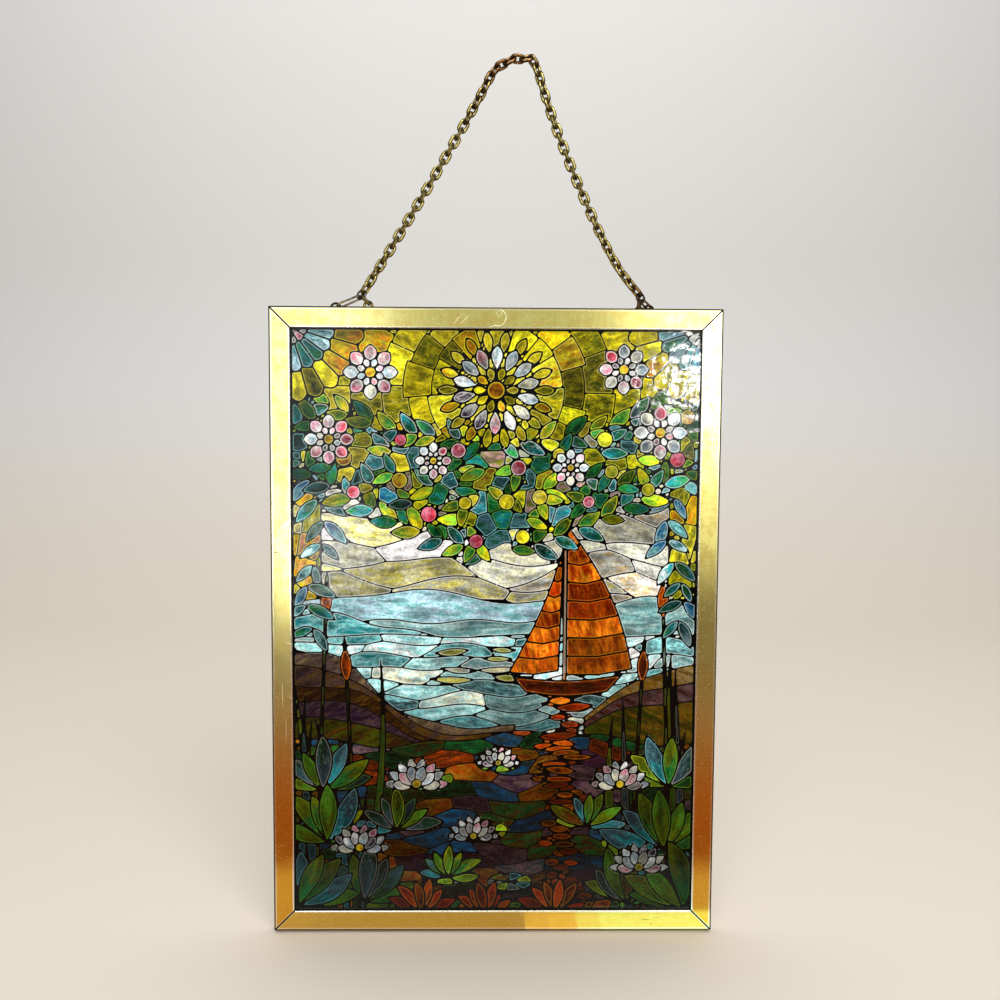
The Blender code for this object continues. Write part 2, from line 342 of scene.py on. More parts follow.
def roundedOutline(corners, radii, steps):
    # Each corner is swapped for an arc that meets both of its sides: points on the arc are
    # the corner moved in by the radius along both sides, plus a turning radius
    corners = np.asarray(corners, float)
    rounded = []
    for i, radius in enumerate(radii):
        back = unit(corners[i - 1] - corners[i])
        ahead = unit(corners[(i + 1) % len(corners)] - corners[i])
        angles = np.linspace(0, math.pi / 2, steps)[:, None]
        middle = corners[i] + radius * (back + ahead)
        rounded.append(middle - radius * (np.cos(angles) * ahead + np.sin(angles) * back))
    return np.concatenate(rounded)


def railOutline():
    # The channel's section as (inwards from the outer edge, backwards)
    wall, face = rails["wall"], rails["face"]
    corners = (
        (0, frontFace), (face, frontFace), (face, frontFace + wall), (wall, frontFace + wall),
        (wall, rearFace - wall), (face, rearFace - wall), (face, rearFace), (0, rearFace),
    )
    outer, inner, lip = rails["corner"], rails["innerCorner"], rails["lipCorner"]
    steps = rails["cornerSteps"]
    outline = roundedOutline(corners, (outer, lip, inner, inner, inner, inner, lip, outer), steps)
    # more corners beside the bends keep the wide faces flat
    front = np.array([(inset * mm, frontFace) for inset in (0.75, 1.0, 1.25, 1.5, 9.1, 9.3, 9.45)])
    flank = np.array(((0, rearFace - outer - 0.3 * mm), (0, frontFace + outer + 0.3 * mm)))
    back = np.array([(inset * mm, rearFace) for inset in (9.2, 1.0)])
    last = 7 * steps  # the eighth corner's first point
    return np.concatenate((outline[:steps], front, outline[steps:last], back, outline[last:], flank))


def makeRail(name, side, along, inwards, length, finish, seed):
    # The section drawn along one side. Its run shortens with the inset, which cuts both mitres.
    outline = railOutline()
    inset = outline[:, 0]
    reach = length / 2 - inset - rails["mitreGap"] / math.sqrt(2)
    # rows crowd towards both mitres, where the joint is dark
    ends = reach - (np.array(rails["endRows"]) * mm)[:, None]
    shares = np.linspace(-1, 1, rails["steps"])[:, None] * (reach - 1.5 * mm)
    run = np.concatenate((-ends, shares, ends[::-1]))
    joint = np.zeros(run.shape)
    joint[(0, 1, -2, -1), :] = 1
    # painted shade: the rounded outer corner is dark, like a shaded side face
    dark = np.clip((0.85 - inset / mm) / 0.3, 0, 1)
    dark[-2:] = 0
    outside = np.broadcast_to(dark, run.shape)
    # painted highlights: the inner lip is pale, and so is a thin line just inside the outer edge
    pale = np.maximum(np.clip((inset / mm - 9.2) / 0.12, 0, 1), 0.7 * (np.abs(inset / mm - 1.12) < 0.2))
    lip = np.broadcast_to(pale, run.shape).copy()
    # painted highlight: a pale row beside each dark joint
    lip[(2, -3), :] = 0.8
    points = side + run[..., None] * along + inset[:, None] * inwards + outline[:, 1, None] * backward
    rows, count = len(run), len(outline)
    quads = gridQuads(rows, count, closedColumns=True)
    caps = [np.arange(count), np.arange(rows * count - count, rows * count)[::-1]]
    if np.cross(along, inwards)[1] > 0:
        quads = quads[:, ::-1]
        caps = [cap[::-1] for cap in caps]
    girth = np.linalg.norm(np.diff(outline, axis=0, append=outline[:1]), axis=1)
    across = np.broadcast_to(np.cumsum(girth), run.shape)
    grain = np.stack((run, across, np.full(run.shape, seed)), axis=-1) / mm
    jointShadeAndSheen = np.stack((joint, outside, lip), axis=-1)
    attributes = [("grain", "FLOAT_VECTOR", grain), ("jointShadeAndSheen", "FLOAT_VECTOR", jointShadeAndSheen)]
    rail = addPiece(name + "_finish", points, [*quads, *caps], finish, attributes)
    standFor(rail, "frame_brass", name)


def spot(tree, place, mark):
    # The way from a mark's centre on the rails' front, in shares of its reach, and its length
    across, up, wide, high = (size * mm for size in mark[:4])
    keys = {"Vector": place, "Location": (middleX + across, 0.0, bottomEdge + up)}
    keys.update({"Scale": (wide, 1.0, high), "Rotation": (0.0, -math.radians(mark[4]), 0.0)})
    way = addNode(tree, "ShaderNodeMapping", keys, vector_type="TEXTURE").outputs[0]
    return way, addNode(tree, "ShaderNodeVectorMath", {0: way}, operation="LENGTH").outputs["Value"]


def goldToneAndFootReflection(tree, place, grain, fine, broad):
    # Brushed gold, with a painted reflection that makes it deeper and more orange towards the foot
    tone = plusShare(tree, times(tree, fine, 0.75), 0.25, broad)
    share = times(tree, spread(tree, tone, 0.38, 0.62), 0.72)
    colour = blendColours(tree, share, rails["gold"], rails["deepGold"])
    height = axesOf(tree, place)["Z"]
    # painted reflection of a warm surface below, on all four rails
    low = spread(tree, height, bottomEdge + 30 * mm, bottomEdge + 110 * mm, 0.85, 0.0)
    colour = blendColours(tree, low, colour, rails["footReflectionGold"])
    # painted reflection, stronger on the uprights near the foot
    deep = spread(tree, height, bottomEdge + 50 * mm, bottomEdge + 115 * mm, 0.9, 0.0)
    deep = times(tree, deep, spread(tree, axesOf(tree, grain)["Z"], 2.9, 3.1))  # on the uprights only
    return blendColours(tree, deep, colour, rails["uprightFootReflection"])


def marked(tree, place, colour):
    # The colour with its scratches, ticks and flecks, and how far the metal is scored
    rough = noise(tree, place, 420.0, 3.0, 0.6)
    scored = 0.0
    for mark in rails["loops"]:
        way, away = spot(tree, place, mark)
        rim = maths(tree, "ABSOLUTE", maths(tree, "SUBTRACT", away, 1.0))
        rim = spread(tree, plusShare(tree, rim, 0.14, rough), 0.07, 0.14, 1.0, 0.0)
        rim = times(tree, rim, spread(tree, axesOf(tree, way)["X"], mark[5] - 0.1, mark[5] + 0.1))
        colour = blendColours(tree, rim, colour, rails["loop"])
        scored = maths(tree, "MAXIMUM", rim, scored)
    for mark in rails["scratches"]:
        bare = spread(tree, maths(tree, "ADD", spot(tree, place, mark)[1], rough), 0.9, 1.7, 0.85, 0.0)
        colour = blendColours(tree, bare, colour, rails["scratch"])
        scored = maths(tree, "MAXIMUM", bare, scored)
    for mark in rails["ticks"]:
        dark = spread(tree, maths(tree, "ADD", spot(tree, place, mark)[1], rough), 0.9, 1.6, 0.8, 0.0)
        colour = blendColours(tree, dark, colour, rails["tick"])
    fleck = spread(tree, noise(tree, place, 1300.0, 2.0, 0.5), 0.63, 0.72, 0.0, 0.5)
    return blendColours(tree, fleck, colour, rails["fleck"]), maths(tree, "MAXIMUM", fleck, scored)


def brushedGold():
    finish, tree, shader = newFinish("brushed_gold", Metallic=1.0)
    grain = readAttribute(tree, "grain")
    jointShadeAndSheen = axesOf(tree, readAttribute(tree, "jointShadeAndSheen"))
    place = objectPlace(tree)
    short = mapping(tree, grain, (0.45, 2.6, 1.0))
    fine = noise(tree, mapping(tree, grain, (0.06, 3.4, 1.0)), 2.2, 4.0, 0.65)
    colour = goldToneAndFootReflection(tree, place, grain, fine, noise(tree, short, 0.9, 4.0, 0.6))
    # orange smudges where the lacquer is worn
    clouds = noise(tree, place, 34.0, 3.0, 0.55)
    smudge = spread(tree, times(tree, clouds, noise(tree, place, 160.0, 4.0, 0.7)), 0.34, 0.46)
    colour = blendColours(tree, times(tree, smudge, 0.12), colour, rails["smudge"])
    # small dark nicks, in patches
    cells = addNode(tree, "ShaderNodeTexVoronoi", {"Vector": short, "Scale": 0.55, "Randomness": 1.0})
    near = spread(tree, cells.outputs["Distance"], 0.03, 0.10, 1.0, 0.0)
    nick = times(tree, near, spread(tree, noise(tree, place, 60.0, 4.0, 0.6), 0.57, 0.63))
    colour = blendColours(tree, times(tree, nick, 0.8), colour, rails["nick"])
    colour, scored = marked(tree, place, colour)
    # painted highlights on the inner lips, dark mitre joints, and painted shade along the outer edges
    colour = blendColours(tree, times(tree, jointShadeAndSheen["Z"], 0.9), colour, rails["lip"])
    edge = maths(tree, "MAXIMUM", spread(tree, jointShadeAndSheen["X"], 0.2, 0.9), jointShadeAndSheen["Y"])
    colour = blendColours(tree, edge, colour, rails["seam"])
    tree.links.new(colour, shader.inputs["Base Color"])
    haze = plusShare(tree, fine, 0.12, clouds)
    rough = spread(tree, haze, 0.4, 0.9, rails["roughness"] - 0.04, rails["roughness"] + 0.06)
    rough = plusShare(tree, plusShare(tree, rough, 0.4, edge), 0.3, scored)
    tree.links.new(rough, shader.inputs["Roughness"])
    relief = plusShare(tree, fine, -0.6, nick)
    tree.links.new(bump(tree, relief, 0.24, 0.035 * mm), shader.inputs["Normal"])
    return finish


def makeFrame():
    # The last value sets each rail's own grain, and is above 3 on the uprights
    finish = brushedGold()
    width = rightEdge - leftEdge
    height = topEdge - bottomEdge
    x = np.array((1.0, 0, 0))
    z = np.array((0, 0, 1.0))
    makeRail("top_rail", np.array((middleX, 0, topEdge)), x, -z, width, finish, 1.0 * mm)
    makeRail("bottom_rail", np.array((middleX, 0, bottomEdge)), x, z, width, finish, 2.3 * mm)
    makeRail("left_rail", np.array((leftEdge, 0, middleZ)), z, x, height, finish, 3.7 * mm)
    makeRail("right_rail", np.array((rightEdge, 0, middleZ)), z, -x, height, finish, 5.1 * mm)


makeFrame()
print("frame rails made")


# Wire pieces: links, rings and eyes, placed as the frame's own solids are

wires = {
    "fullness": 1.24,  # tarnish makes the wires look thicker than their metal
    "chainWire": 1.3 * mm,
    "chainWidth": 4.8 * mm,
    "chainSeam": 0.10 * mm,  # the cut in each link's side
    "chainGap": 0.3 * mm,
    "chainSteps": 9,  # along each half round
    "chainSides": 10,
    "links": 62,
    "twistLinks": (0, 6, 18, 24, 30, 33, 48, 54, 61),
    "twistDegrees": (122, 90, 90, 48, 45, 40, 90, 45, 32),
    "topRun": ((-1.6, 111.6), (4.0, 115.2), (8.0, 117.3), (12.2, 116.7), (15.7, 117.4), (18.5, 112.4)),
    "leftSag": 1.0 * mm,
    "rightSag": 4.4 * mm,
    "rightLowEnd": 1.4,  # the right leg bends most near its lower end
    "tailWire": 1.05 * mm,
    "tailPitch": 4.2 * mm,
    "eyeWire": 0.9 * mm,
    "eyeWidth": 5.6 * mm,
    "eyeArch": -0.2 * mm,
    "eyeLeg": 8.0 * mm,
    "eyeDirt": 1.6,
    "longWire": 0.85 * mm,
    "longWidth": 3.7 * mm,
    "longRoll": 58.0,
    "ringWire": 0.85 * mm,
    "ringDiameter": 5.4 * mm,
    "ringSeam": 0.12 * mm,
    "gap": 0.3 * mm,
}

sides = {
    "left": {
        "eye": -77.0 * mm, "seat": 45, "length": 12.7 * mm, "slope": 23, "ringSlope": 50, "warm": 0.1,
        "tailSeat": 15, "tailLine": (0.563, 0.551, -0.615), "tailFall": (0.0, 0.3, -1.0),
    },
    "right": {
        "eye": 73.1 * mm, "seat": 55, "length": 6.6 * mm, "slope": 138, "ringSlope": 116, "warm": 0.75,
        "tailSeat": 38, "tailLine": (0.0, 0.45, -0.85), "tailFall": (0.25, 0.15, -1.0),
    },
}


def inPlane(across, up):
    # A point measured from the frame's centreline and top edge, in the chain's plane
    return np.array((middleX + across, 0.0, topEdge + up))


def direction(degrees):
    # One unit long in the chain's plane, turned up from the right
    return np.array((math.cos(math.radians(degrees)), 0.0, math.sin(math.radians(degrees))))


def widthAxis(line, roll):
    # Where a link's width points: square to its line in the chain's plane, rolled about the line
    normal = unit(np.cross(line, backward))
    turn = math.radians(roll)
    return math.cos(turn) * normal + math.sin(turn) * np.cross(normal, line)


def sweptWire(centres, inner, side, wire, count, nook, warm, closed=False):
    # A round section carried along the centres: centre plus half the wire times the cosine
    # towards the inside of the bend and the sine towards the side. Open ends are capped.
    angles = np.arange(count) * 2 * math.pi / count
    turn = np.cos(angles)[None, :, None] * inner[:, None, :] + np.sin(angles)[None, :, None] * side
    points = centres[:, None, :] + turn * wire * wires["fullness"] / 2
    rows = len(centres)
    faces = list(gridQuads(rows, count, closedRows=closed, closedColumns=True))
    if not closed:
        faces += [np.arange(count)[::-1], np.arange((rows - 1) * count, rows * count)]
    # darker on the inside of the bends, where links meet, and painted shade along the wire's inner and
    # outer edges
    inside = 0.5 + 0.5 * np.cos(angles)
    bendDarkAndEdgeShade = nook[:, None] * (0.25 + 0.75 * inside[None, :]) + 0.58 * np.cos(angles[None, :]) ** 2
    shadeAndWarmth = np.stack((bendDarkAndEdgeShade, np.full(bendDarkAndEdgeShade.shape, warm), np.zeros(bendDarkAndEdgeShade.shape)), axis=-1)
    return points.reshape(-1, 3), faces, shadeAndWarmth.reshape(-1, 3)


def linkWire(start, end, gap, wire, width, across, steps, count, seam, warm):
    # A closed oval with its width along across: two half rounds joined by straight runs. The
    # middle of each end bar lies half a wire outside its joint. A seam leaves the wire open
    # by that much in the middle of one straight run.
    line = unit(end - start)
    first = start - line * (wire + gap) / 2
    last = end + line * (wire + gap) / 2
    bend = min((width - wire) / 2, np.linalg.norm(last - first) / 2)
    angles = np.linspace(-math.pi / 2, math.pi / 2, steps)
    far = np.cos(angles)[:, None] * line + np.sin(angles)[:, None] * across
    centres = np.concatenate((last - line * bend + far * bend, first + line * bend - far * bend))
    outward = np.concatenate((far, -far))
    nook = np.concatenate((np.cos(angles), np.cos(angles))) ** 0.7
    side = np.cross(line, across)
    if not seam:
        return sweptWire(centres, -outward, side, wire, count, nook, warm, closed=True)
    half = (centres[0] + centres[-1]) / 2
    ahead = unit(centres[0] - centres[-1]) * seam / 2
    centres = np.concatenate(([half + ahead], centres, [half - ahead]))
    outward = np.concatenate((outward[:1], outward, outward[-1:]))
    nook = np.concatenate(([0.35], nook, [0.35]))
    return sweptWire(centres, -outward, side, wire, count, nook, warm)


def joinParts(parts):
    # Several meshes as one, with their faces renumbered
    points, faces, shadeAndWarmth = [], [], []
    start = 0
    for some, quads, marks in parts:
        points.append(some)
        faces += [np.asarray(face) + start for face in quads]
        shadeAndWarmth.append(marks)
        start += len(some)
    return np.concatenate(points), faces, np.concatenate(shadeAndWarmth)


def addWires(name, parts, finish, slot, nodes):
    points, faces, shadeAndWarmth = joinParts(parts)
    made = addPiece(name, points, faces, finish, [("shadeAndWarmth", "FLOAT_VECTOR", shadeAndWarmth)], 50)
    standFor(made, slot, *nodes)


def chainLink(start, end, across, warm, wire=wires["chainWire"]):
    return linkWire(
        start, end, wires["chainGap"], wire, wires["chainWidth"], across,
        wires["chainSteps"], wires["chainSides"], wires["chainSeam"], warm,
    )


def saggingLeg(start, end, sag, lowEnd):
    # The chord, let down by the sag along a parabola, and by more towards the end as lowEnd
    # times the fourth power of the way along
    share = np.linspace(0, 1, 9)[:, None]
    below = unit(np.cross(end - start, backward))
    below = below if below[2] < 0 else -below
    depth = sag * 4 * share * (1 - share) * (1 + lowEnd * share**4)
    return start + (end - start) * share + below * depth


def smoothLine(knots, steps):
    # A Catmull-Rom curve through the knots
    padded = np.concatenate((2 * knots[:1] - knots[1:2], knots, 2 * knots[-1:] - knots[-2:-1]))
    a, b, c, d = (padded[i : i + len(knots) - 1, None, :] for i in range(4))
    t = (np.arange(steps) / steps)[None, :, None]
    run = 2 * b + (c - a) * t + (2 * a - 5 * b + 4 * c - d) * t**2 + (3 * b - a - 3 * c + d) * t**3
    return np.concatenate((0.5 * run.reshape(-1, 3), knots[-1:]))


def chainJoints(start, end):
    # Evenly spaced along one smooth line: the left leg, the run over the hook and the right leg
    top = np.array([inPlane(x * mm, z * mm) for x, z in wires["topRun"]])
    left = saggingLeg(start, top[0], wires["leftSag"], 0.0)
    right = saggingLeg(top[-1], end, wires["rightSag"], wires["rightLowEnd"])
    line = smoothLine(np.concatenate((left[:-1], top, right[1:])), 24)
    along = np.concatenate(([0], np.cumsum(np.linalg.norm(np.diff(line, axis=0), axis=1))))
    even = np.linspace(0, along[-1], wires["links"] + 1)
    return np.stack([np.interp(even, along, line[:, axis]) for axis in range(3)], axis=1)


def makeChain(start, end, finish):
    # One link between each two joints, rolled about the line by its own twist
    joints = chainJoints(start, end)
    numbers = np.arange(wires["links"])
    rolls = np.interp(numbers, wires["twistLinks"], wires["twistDegrees"]) - 90 * (numbers % 2)
    # the brass is browner from high on the left leg to over the hook, and at the right end
    warm = 0.7 * np.exp(-(((numbers - 30.5) / 3.6) ** 2)) + np.clip((numbers - 57) / 4, 0, 1) * 0.6
    warm += 0.38 * np.clip((numbers - 19) / 3, 0, 1) * np.clip((33 - numbers) / 3, 0, 1)
    parts = []
    for number in numbers:
        first, last = joints[number], joints[number + 1]
        across = widthAxis(unit(last - first), rolls[number])
        parts.append(chainLink(first, last, across, warm[number]))
    nodes = [f"chain_links_{pair:02d}" for pair in range(1, wires["links"] // 2 + 1)]
    addWires("chain", parts, finish, "chain_brass", nodes)


def makeTail(side, ringStart, ringEnd, ringAcross, finish):
    # Two spare links that hang from the lower side of a ring, behind the rail
    line = unit(ringEnd - ringStart)
    lower = ringAcross if ringAcross[2] < 0 else -ringAcross
    turn = math.radians(sides[side]["tailSeat"])
    seat = math.cos(turn) * lower - math.sin(turn) * line
    alongRing = math.cos(turn) * line + math.sin(turn) * lower
    wire = (ringStart + ringEnd) / 2 + seat * (wires["ringDiameter"] - wires["ringWire"]) / 2
    leaning = unit(np.array(sides[side]["tailLine"]))
    first = wire - leaning * (wires["ringWire"] + wires["gap"]) / 2
    second = first + leaning * wires["tailPitch"]
    falling = unit(np.array(sides[side]["tailFall"]))
    across = unit(np.cross(leaning, alongRing))
    last = second + falling * wires["tailPitch"]
    warm = sides[side]["warm"]
    parts = (
        chainLink(first, second, across, warm, wires["tailWire"]),
        chainLink(second, last, unit(np.cross(across, falling)), warm, wires["tailWire"]),
    )
    addWires(side + "_spare_chain", parts, finish, "chain_brass", [side + "_spare_links"])


def makeFittings(side, finish, chainFinish):
    # One side's eye, long link, ring and spare links. Returns the joint of the ring and the chain.
    sizes = sides[side]
    warm = sizes["warm"]
    centre = inPlane(sizes["eye"], wires["eyeArch"])
    radius = (wires["eyeWidth"] - wires["eyeWire"]) / 2
    angles = np.linspace(0, math.pi, 19)
    outward = np.stack((np.cos(angles), np.zeros(19), np.sin(angles)), axis=1)
    arch = centre + outward * radius
    down = np.array((0.0, 0.0, -wires["eyeLeg"]))
    centres = np.concatenate((arch[:1] + down, arch, arch[-1:] + down))
    outward = np.concatenate((outward[:1], outward, outward[-1:]))
    nook = np.full(len(centres), wires["eyeDirt"])
    eye = sweptWire(centres, -outward, -backward, wires["eyeWire"], 12, nook, warm)
    addWires(side + "_wire_eye", [eye], finish, "fitting_metal", [side + "_eye"])

    turn = -1 if side == "left" else 1
    gap = wires["gap"]
    seatRadius = radius - wires["eyeWire"] / 2 - wires["longWire"] / 2 - gap
    slope = direction(sizes["slope"])
    shift = (wires["longWire"] + gap) / 2
    seat = centre + direction(sizes["seat"]) * seatRadius
    start = seat + slope * shift
    end = seat + slope * (sizes["length"] - wires["longWire"] - shift)
    across = widthAxis(slope, turn * wires["longRoll"])
    longLink = linkWire(start, end, gap, wires["longWire"], wires["longWidth"], across, 12, 12, 0, warm)
    addWires(side + "_connecting_link", [longLink], finish, "fitting_metal", [side + "_long_link"])

    ringLine = direction(sizes["ringSlope"])
    chainStart = end + ringLine * (wires["ringDiameter"] - 2 * wires["ringWire"] - gap)
    across = widthAxis(ringLine, turn * (wires["longRoll"] - 90))
    wire, width, seam = wires["ringWire"], wires["ringDiameter"], wires["ringSeam"]
    ring = linkWire(end, chainStart, gap, wire, width, across, 14, 12, seam, warm)
    addWires(side + "_jump_ring", [ring], finish, "fitting_metal", [side + "_ring"])
    makeTail(side, end, chainStart, across, chainFinish)
    return chainStart


metals = {
    "aged_chain_brass": {
        "bright": (0.62, 0.50, 0.17), "reddened": (0.30, 0.15, 0.055), "dark": (0.02, 0.013, 0.006),
        "roughness": 0.20,
    },
    "worn_fitting": {
        "bright": (0.30, 0.25, 0.22), "reddened": (0.15, 0.08, 0.05), "dark": (0.010, 0.008, 0.006),
        "roughness": 0.15,
    },
}


def wornShadedMetal(name):
    # Bare metal on the outside of the bends, reddened by the warm mark, darker in the bends, with painted
    # shade along the wires' edges
    finish, tree, shader = newFinish(name, Metallic=1.0)
    metal = metals[name]
    shadeAndWarmth = axesOf(tree, readAttribute(tree, "shadeAndWarmth"))
    place = objectPlace(tree)
    clouds = noise(tree, place, 700.0, 4.0, 0.6)
    fine = noise(tree, place, 3200.0, 3.0, 0.6)
    warmer = spread(tree, plusShare(tree, shadeAndWarmth["Y"], 0.7, clouds), 0.35, 1.25)
    colour = blendColours(tree, warmer, metal["bright"], metal["reddened"])
    # painted shade: the wires' edges darken, as does the inside of the bends
    shadeShare = spread(tree, plusShare(tree, shadeAndWarmth["X"], 0.9, clouds), 0.66, 1.12)
    colour = blendColours(tree, times(tree, shadeShare, 0.92), colour, metal["dark"])
    tree.links.new(colour, shader.inputs["Base Color"])
    rough = spread(tree, plusShare(tree, shadeShare, 0.5, fine), 0.1, 1.4, metal["roughness"], 0.62)
    tree.links.new(rough, shader.inputs["Roughness"])
    tree.links.new(bump(tree, fine, 0.25, 0.02 * mm), shader.inputs["Normal"])
    return finish


chainFinish = wornShadedMetal("aged_chain_brass")
fittingFinish = wornShadedMetal("worn_fitting")
chainStart = makeFittings("left", fittingFinish, chainFinish)
chainEnd = makeFittings("right", fittingFinish, chainFinish)
makeChain(chainStart, chainEnd, chainFinish)
print("chain and fittings made")


# Glass picture. Sizes in this part are millimetres, x from the middle and y from the sight's foot.

picture = {
    "cell": 0.8,  # between grid points
    "fineLine": 0.27,  # half the width of a black line
    "boldLine": 0.36,
    "reach": 4.0,  # how far from a line the shading can tell
    "lip": 10.0,  # the rails' cover beyond the frame's outer edge
    "meet": 0.52,  # how near to a line's middle a grid point moves to meet it
    "snap": 0.34,  # and how far it may move
    "border": (0.7, 4.0, 7.0),  # rows of points under the rails
    "waves": 14,  # crossing waves in the glass's front
    "paneTone": (0.64, 1.28),  # how dark and how light a pane's own glass may be
    "cellTone": (0.6, 1.25),
    "mottling": 60,  # how far apart panes may read the mottling
    "batch": 4_000_000,  # distances worked out at one time
    "black": (0.001, 0.001, 0.001),
}

fine, bold = picture["fineLine"], picture["boldLine"]

glassColours = {
    "olive": (0.68, 0.63, 0.07), "lemon": (0.92, 0.85, 0.13), "straw": (0.94, 0.90, 0.42),
    "amber": (0.80, 0.50, 0.05), "rust": (0.66, 0.26, 0.05), "cream": (0.94, 0.93, 0.76),
    "cloud": (0.78, 0.80, 0.77), "milk": (0.95, 0.97, 0.96), "pink": (0.86, 0.48, 0.58),
    "rose": (0.80, 0.20, 0.28), "ice": (0.66, 0.79, 0.86), "blue": (0.08, 0.36, 0.54),
    "teal": (0.08, 0.40, 0.42), "sea": (0.42, 0.66, 0.67), "spray": (0.68, 0.83, 0.82),
    "forest": (0.04, 0.20, 0.12), "green": (0.10, 0.37, 0.17), "leaf": (0.30, 0.50, 0.13),
    "lime": (0.68, 0.76, 0.20), "bark": (0.36, 0.18, 0.08), "mauve": (0.52, 0.39, 0.40),
    "ochre": (0.64, 0.45, 0.12), "plum": (0.30, 0.17, 0.32),
    "brick": (0.62, 0.18, 0.04), "orange": (0.93, 0.48, 0.10), "slate": (0.18, 0.27, 0.30),
    "moss": (0.34, 0.37, 0.06), "sand": (0.74, 0.64, 0.42), "umber": (0.18, 0.10, 0.05),
    "smoke": (0.54, 0.54, 0.50),
}


def newCanvas(width, height):
    # The picture as arrays over one grid of points
    columns = int(round(width / picture["cell"])) + 1
    rows = int(round(height / picture["cell"])) + 1
    return {
        "x": np.linspace(-width / 2, width / 2, columns),
        "y": np.linspace(0, height, rows),
        "edge": np.full((rows, columns), picture["reach"]),  # mm outside the nearest black line
        "toLine": np.full((rows, columns, 2), 99.0),  # the way to that line's middle
        "main": np.zeros((rows, columns, 4)),  # colour, and how far it leans to the second
        "second": np.zeros((rows, columns, 4)),
        "rim": np.zeros((rows, columns, 4)),  # colour beside the lines, and its width
        "streak": np.zeros((rows, columns, 3)),  # where the mottling is read
    }


def outlineDistance(outline, x, y):
    # Least distance to any side of a closed outline, negative inside it by crossing parity,
    # and the way to that nearest point
    side = np.roll(outline, -1, axis=0) - outline
    length = np.maximum((side**2).sum(axis=1), 1e-12)
    result = np.empty(x.size)
    toward = np.empty((x.size, 2))
    flatX, flatY = x.ravel(), y.ravel()
    step = max(1, picture["batch"] // len(outline))
    for start in range(0, x.size, step):
        batch = slice(start, start + step)
        dx = flatX[batch, None] - outline[:, 0]
        dy = flatY[batch, None] - outline[:, 1]
        share = np.clip((dx * side[:, 0] + dy * side[:, 1]) / length, 0, 1)
        gapX = side[:, 0] * share - dx
        gapY = side[:, 1] * share - dy
        gap = gapX**2 + gapY**2
        nearest = gap.argmin(axis=1)
        lines = np.arange(len(nearest))
        rises = (dy < 0) != (dy < side[:, 1])
        slant = np.where(side[:, 1] == 0, 1e-12, side[:, 1])
        crossing = rises & (dx < side[:, 0] * dy / slant)
        inside = crossing.sum(axis=1) % 2 == 1
        near = np.sqrt(gap[lines, nearest])
        result[batch] = np.where(inside, -near, near)
        toward[batch, 0] = gapX[lines, nearest]
        toward[batch, 1] = gapY[lines, nearest]
    return result.reshape(x.shape), toward.reshape(*x.shape, 2)


def blockAround(canvas, outline):
    # The part of the grid that an outline can change
    margin = picture["reach"] + 1.5
    low = outline.min(axis=0) - margin
    high = outline.max(axis=0) + margin
    columns = slice(*np.searchsorted(canvas["x"], (low[0], high[0])))
    rows = slice(*np.searchsorted(canvas["y"], (low[1], high[1])))
    return (rows, columns), np.meshgrid(canvas["x"][columns], canvas["y"][rows])


def colourOf(name, tone):
    return np.clip(np.array(glassColours[name]) * tone, 0, 1)


def dusk(y):
    # The picture darkens towards its foot
    return np.interp(y, (0, 60, 95, 125, 150), (0.24, 0.37, 0.62, 0.95, 1.0))


def layPiece(canvas, outline, glass, line, heading=0.0, lean=0.0, stretch=3.0, tone=1.0):
    # Inside its outline a piece covers what was there. Outside, only its black line shows.
    # glass is (main, second, rim, rim width). lean tips the mix along the heading.
    block, (x, y) = blockAround(canvas, outline)
    if x.size == 0:
        return
    away, toward = outlineDistance(outline, x, y)
    inside = away < 0
    edge = canvas["edge"][block]
    changed = inside | (away - line < edge)
    canvas["toLine"][block][changed] = toward[changed]
    edge[:] = np.where(inside, np.minimum(-away - line, picture["reach"]), np.minimum(edge, away - line))
    middle = outline.mean(axis=0)
    along = (x - middle[0]) * math.cos(heading) + (y - middle[1]) * math.sin(heading)
    across = (y - middle[1]) * math.cos(heading) - (x - middle[0]) * math.sin(heading)
    span = max(np.ptp(outline[:, 0]), np.ptp(outline[:, 1])) / 2
    tone = tone * dusk(middle[1])
    jitter = tone * rng.uniform(*picture["paneTone"])
    main, second, rim, width = glass
    canvas["main"][block][inside] = np.append(colourOf(main, jitter), 0)
    canvas["main"][block][inside, 3] = (lean * along / span)[inside]
    canvas["second"][block][inside] = np.append(colourOf(second, jitter), 0)
    canvas["rim"][block][inside] = np.append(colourOf(rim, tone), width)
    place = rng.uniform(0, picture["mottling"], 2)
    streak = np.stack((along / stretch + place[0], across + place[1], np.zeros(x.shape)), axis=-1)
    canvas["streak"][block][inside] = streak[inside]


def scatterSeeds(low, high, spacing):
    # Rows of seeds between two corners, every other row moved by half a place, and each seed
    # set a little out of line
    counts = np.maximum(((high - low) / spacing).astype(int), 1)
    u, v = np.meshgrid(np.arange(counts[0]) + 0.5, np.arange(counts[1]) + 0.5)
    u = u + 0.5 * (np.arange(counts[1]) % 2)[:, None]
    seeds = np.stack((u, v), axis=-1).reshape(-1, 2) * (high - low) / counts + low
    return seeds + rng.uniform(-0.34, 0.34, seeds.shape) * spacing


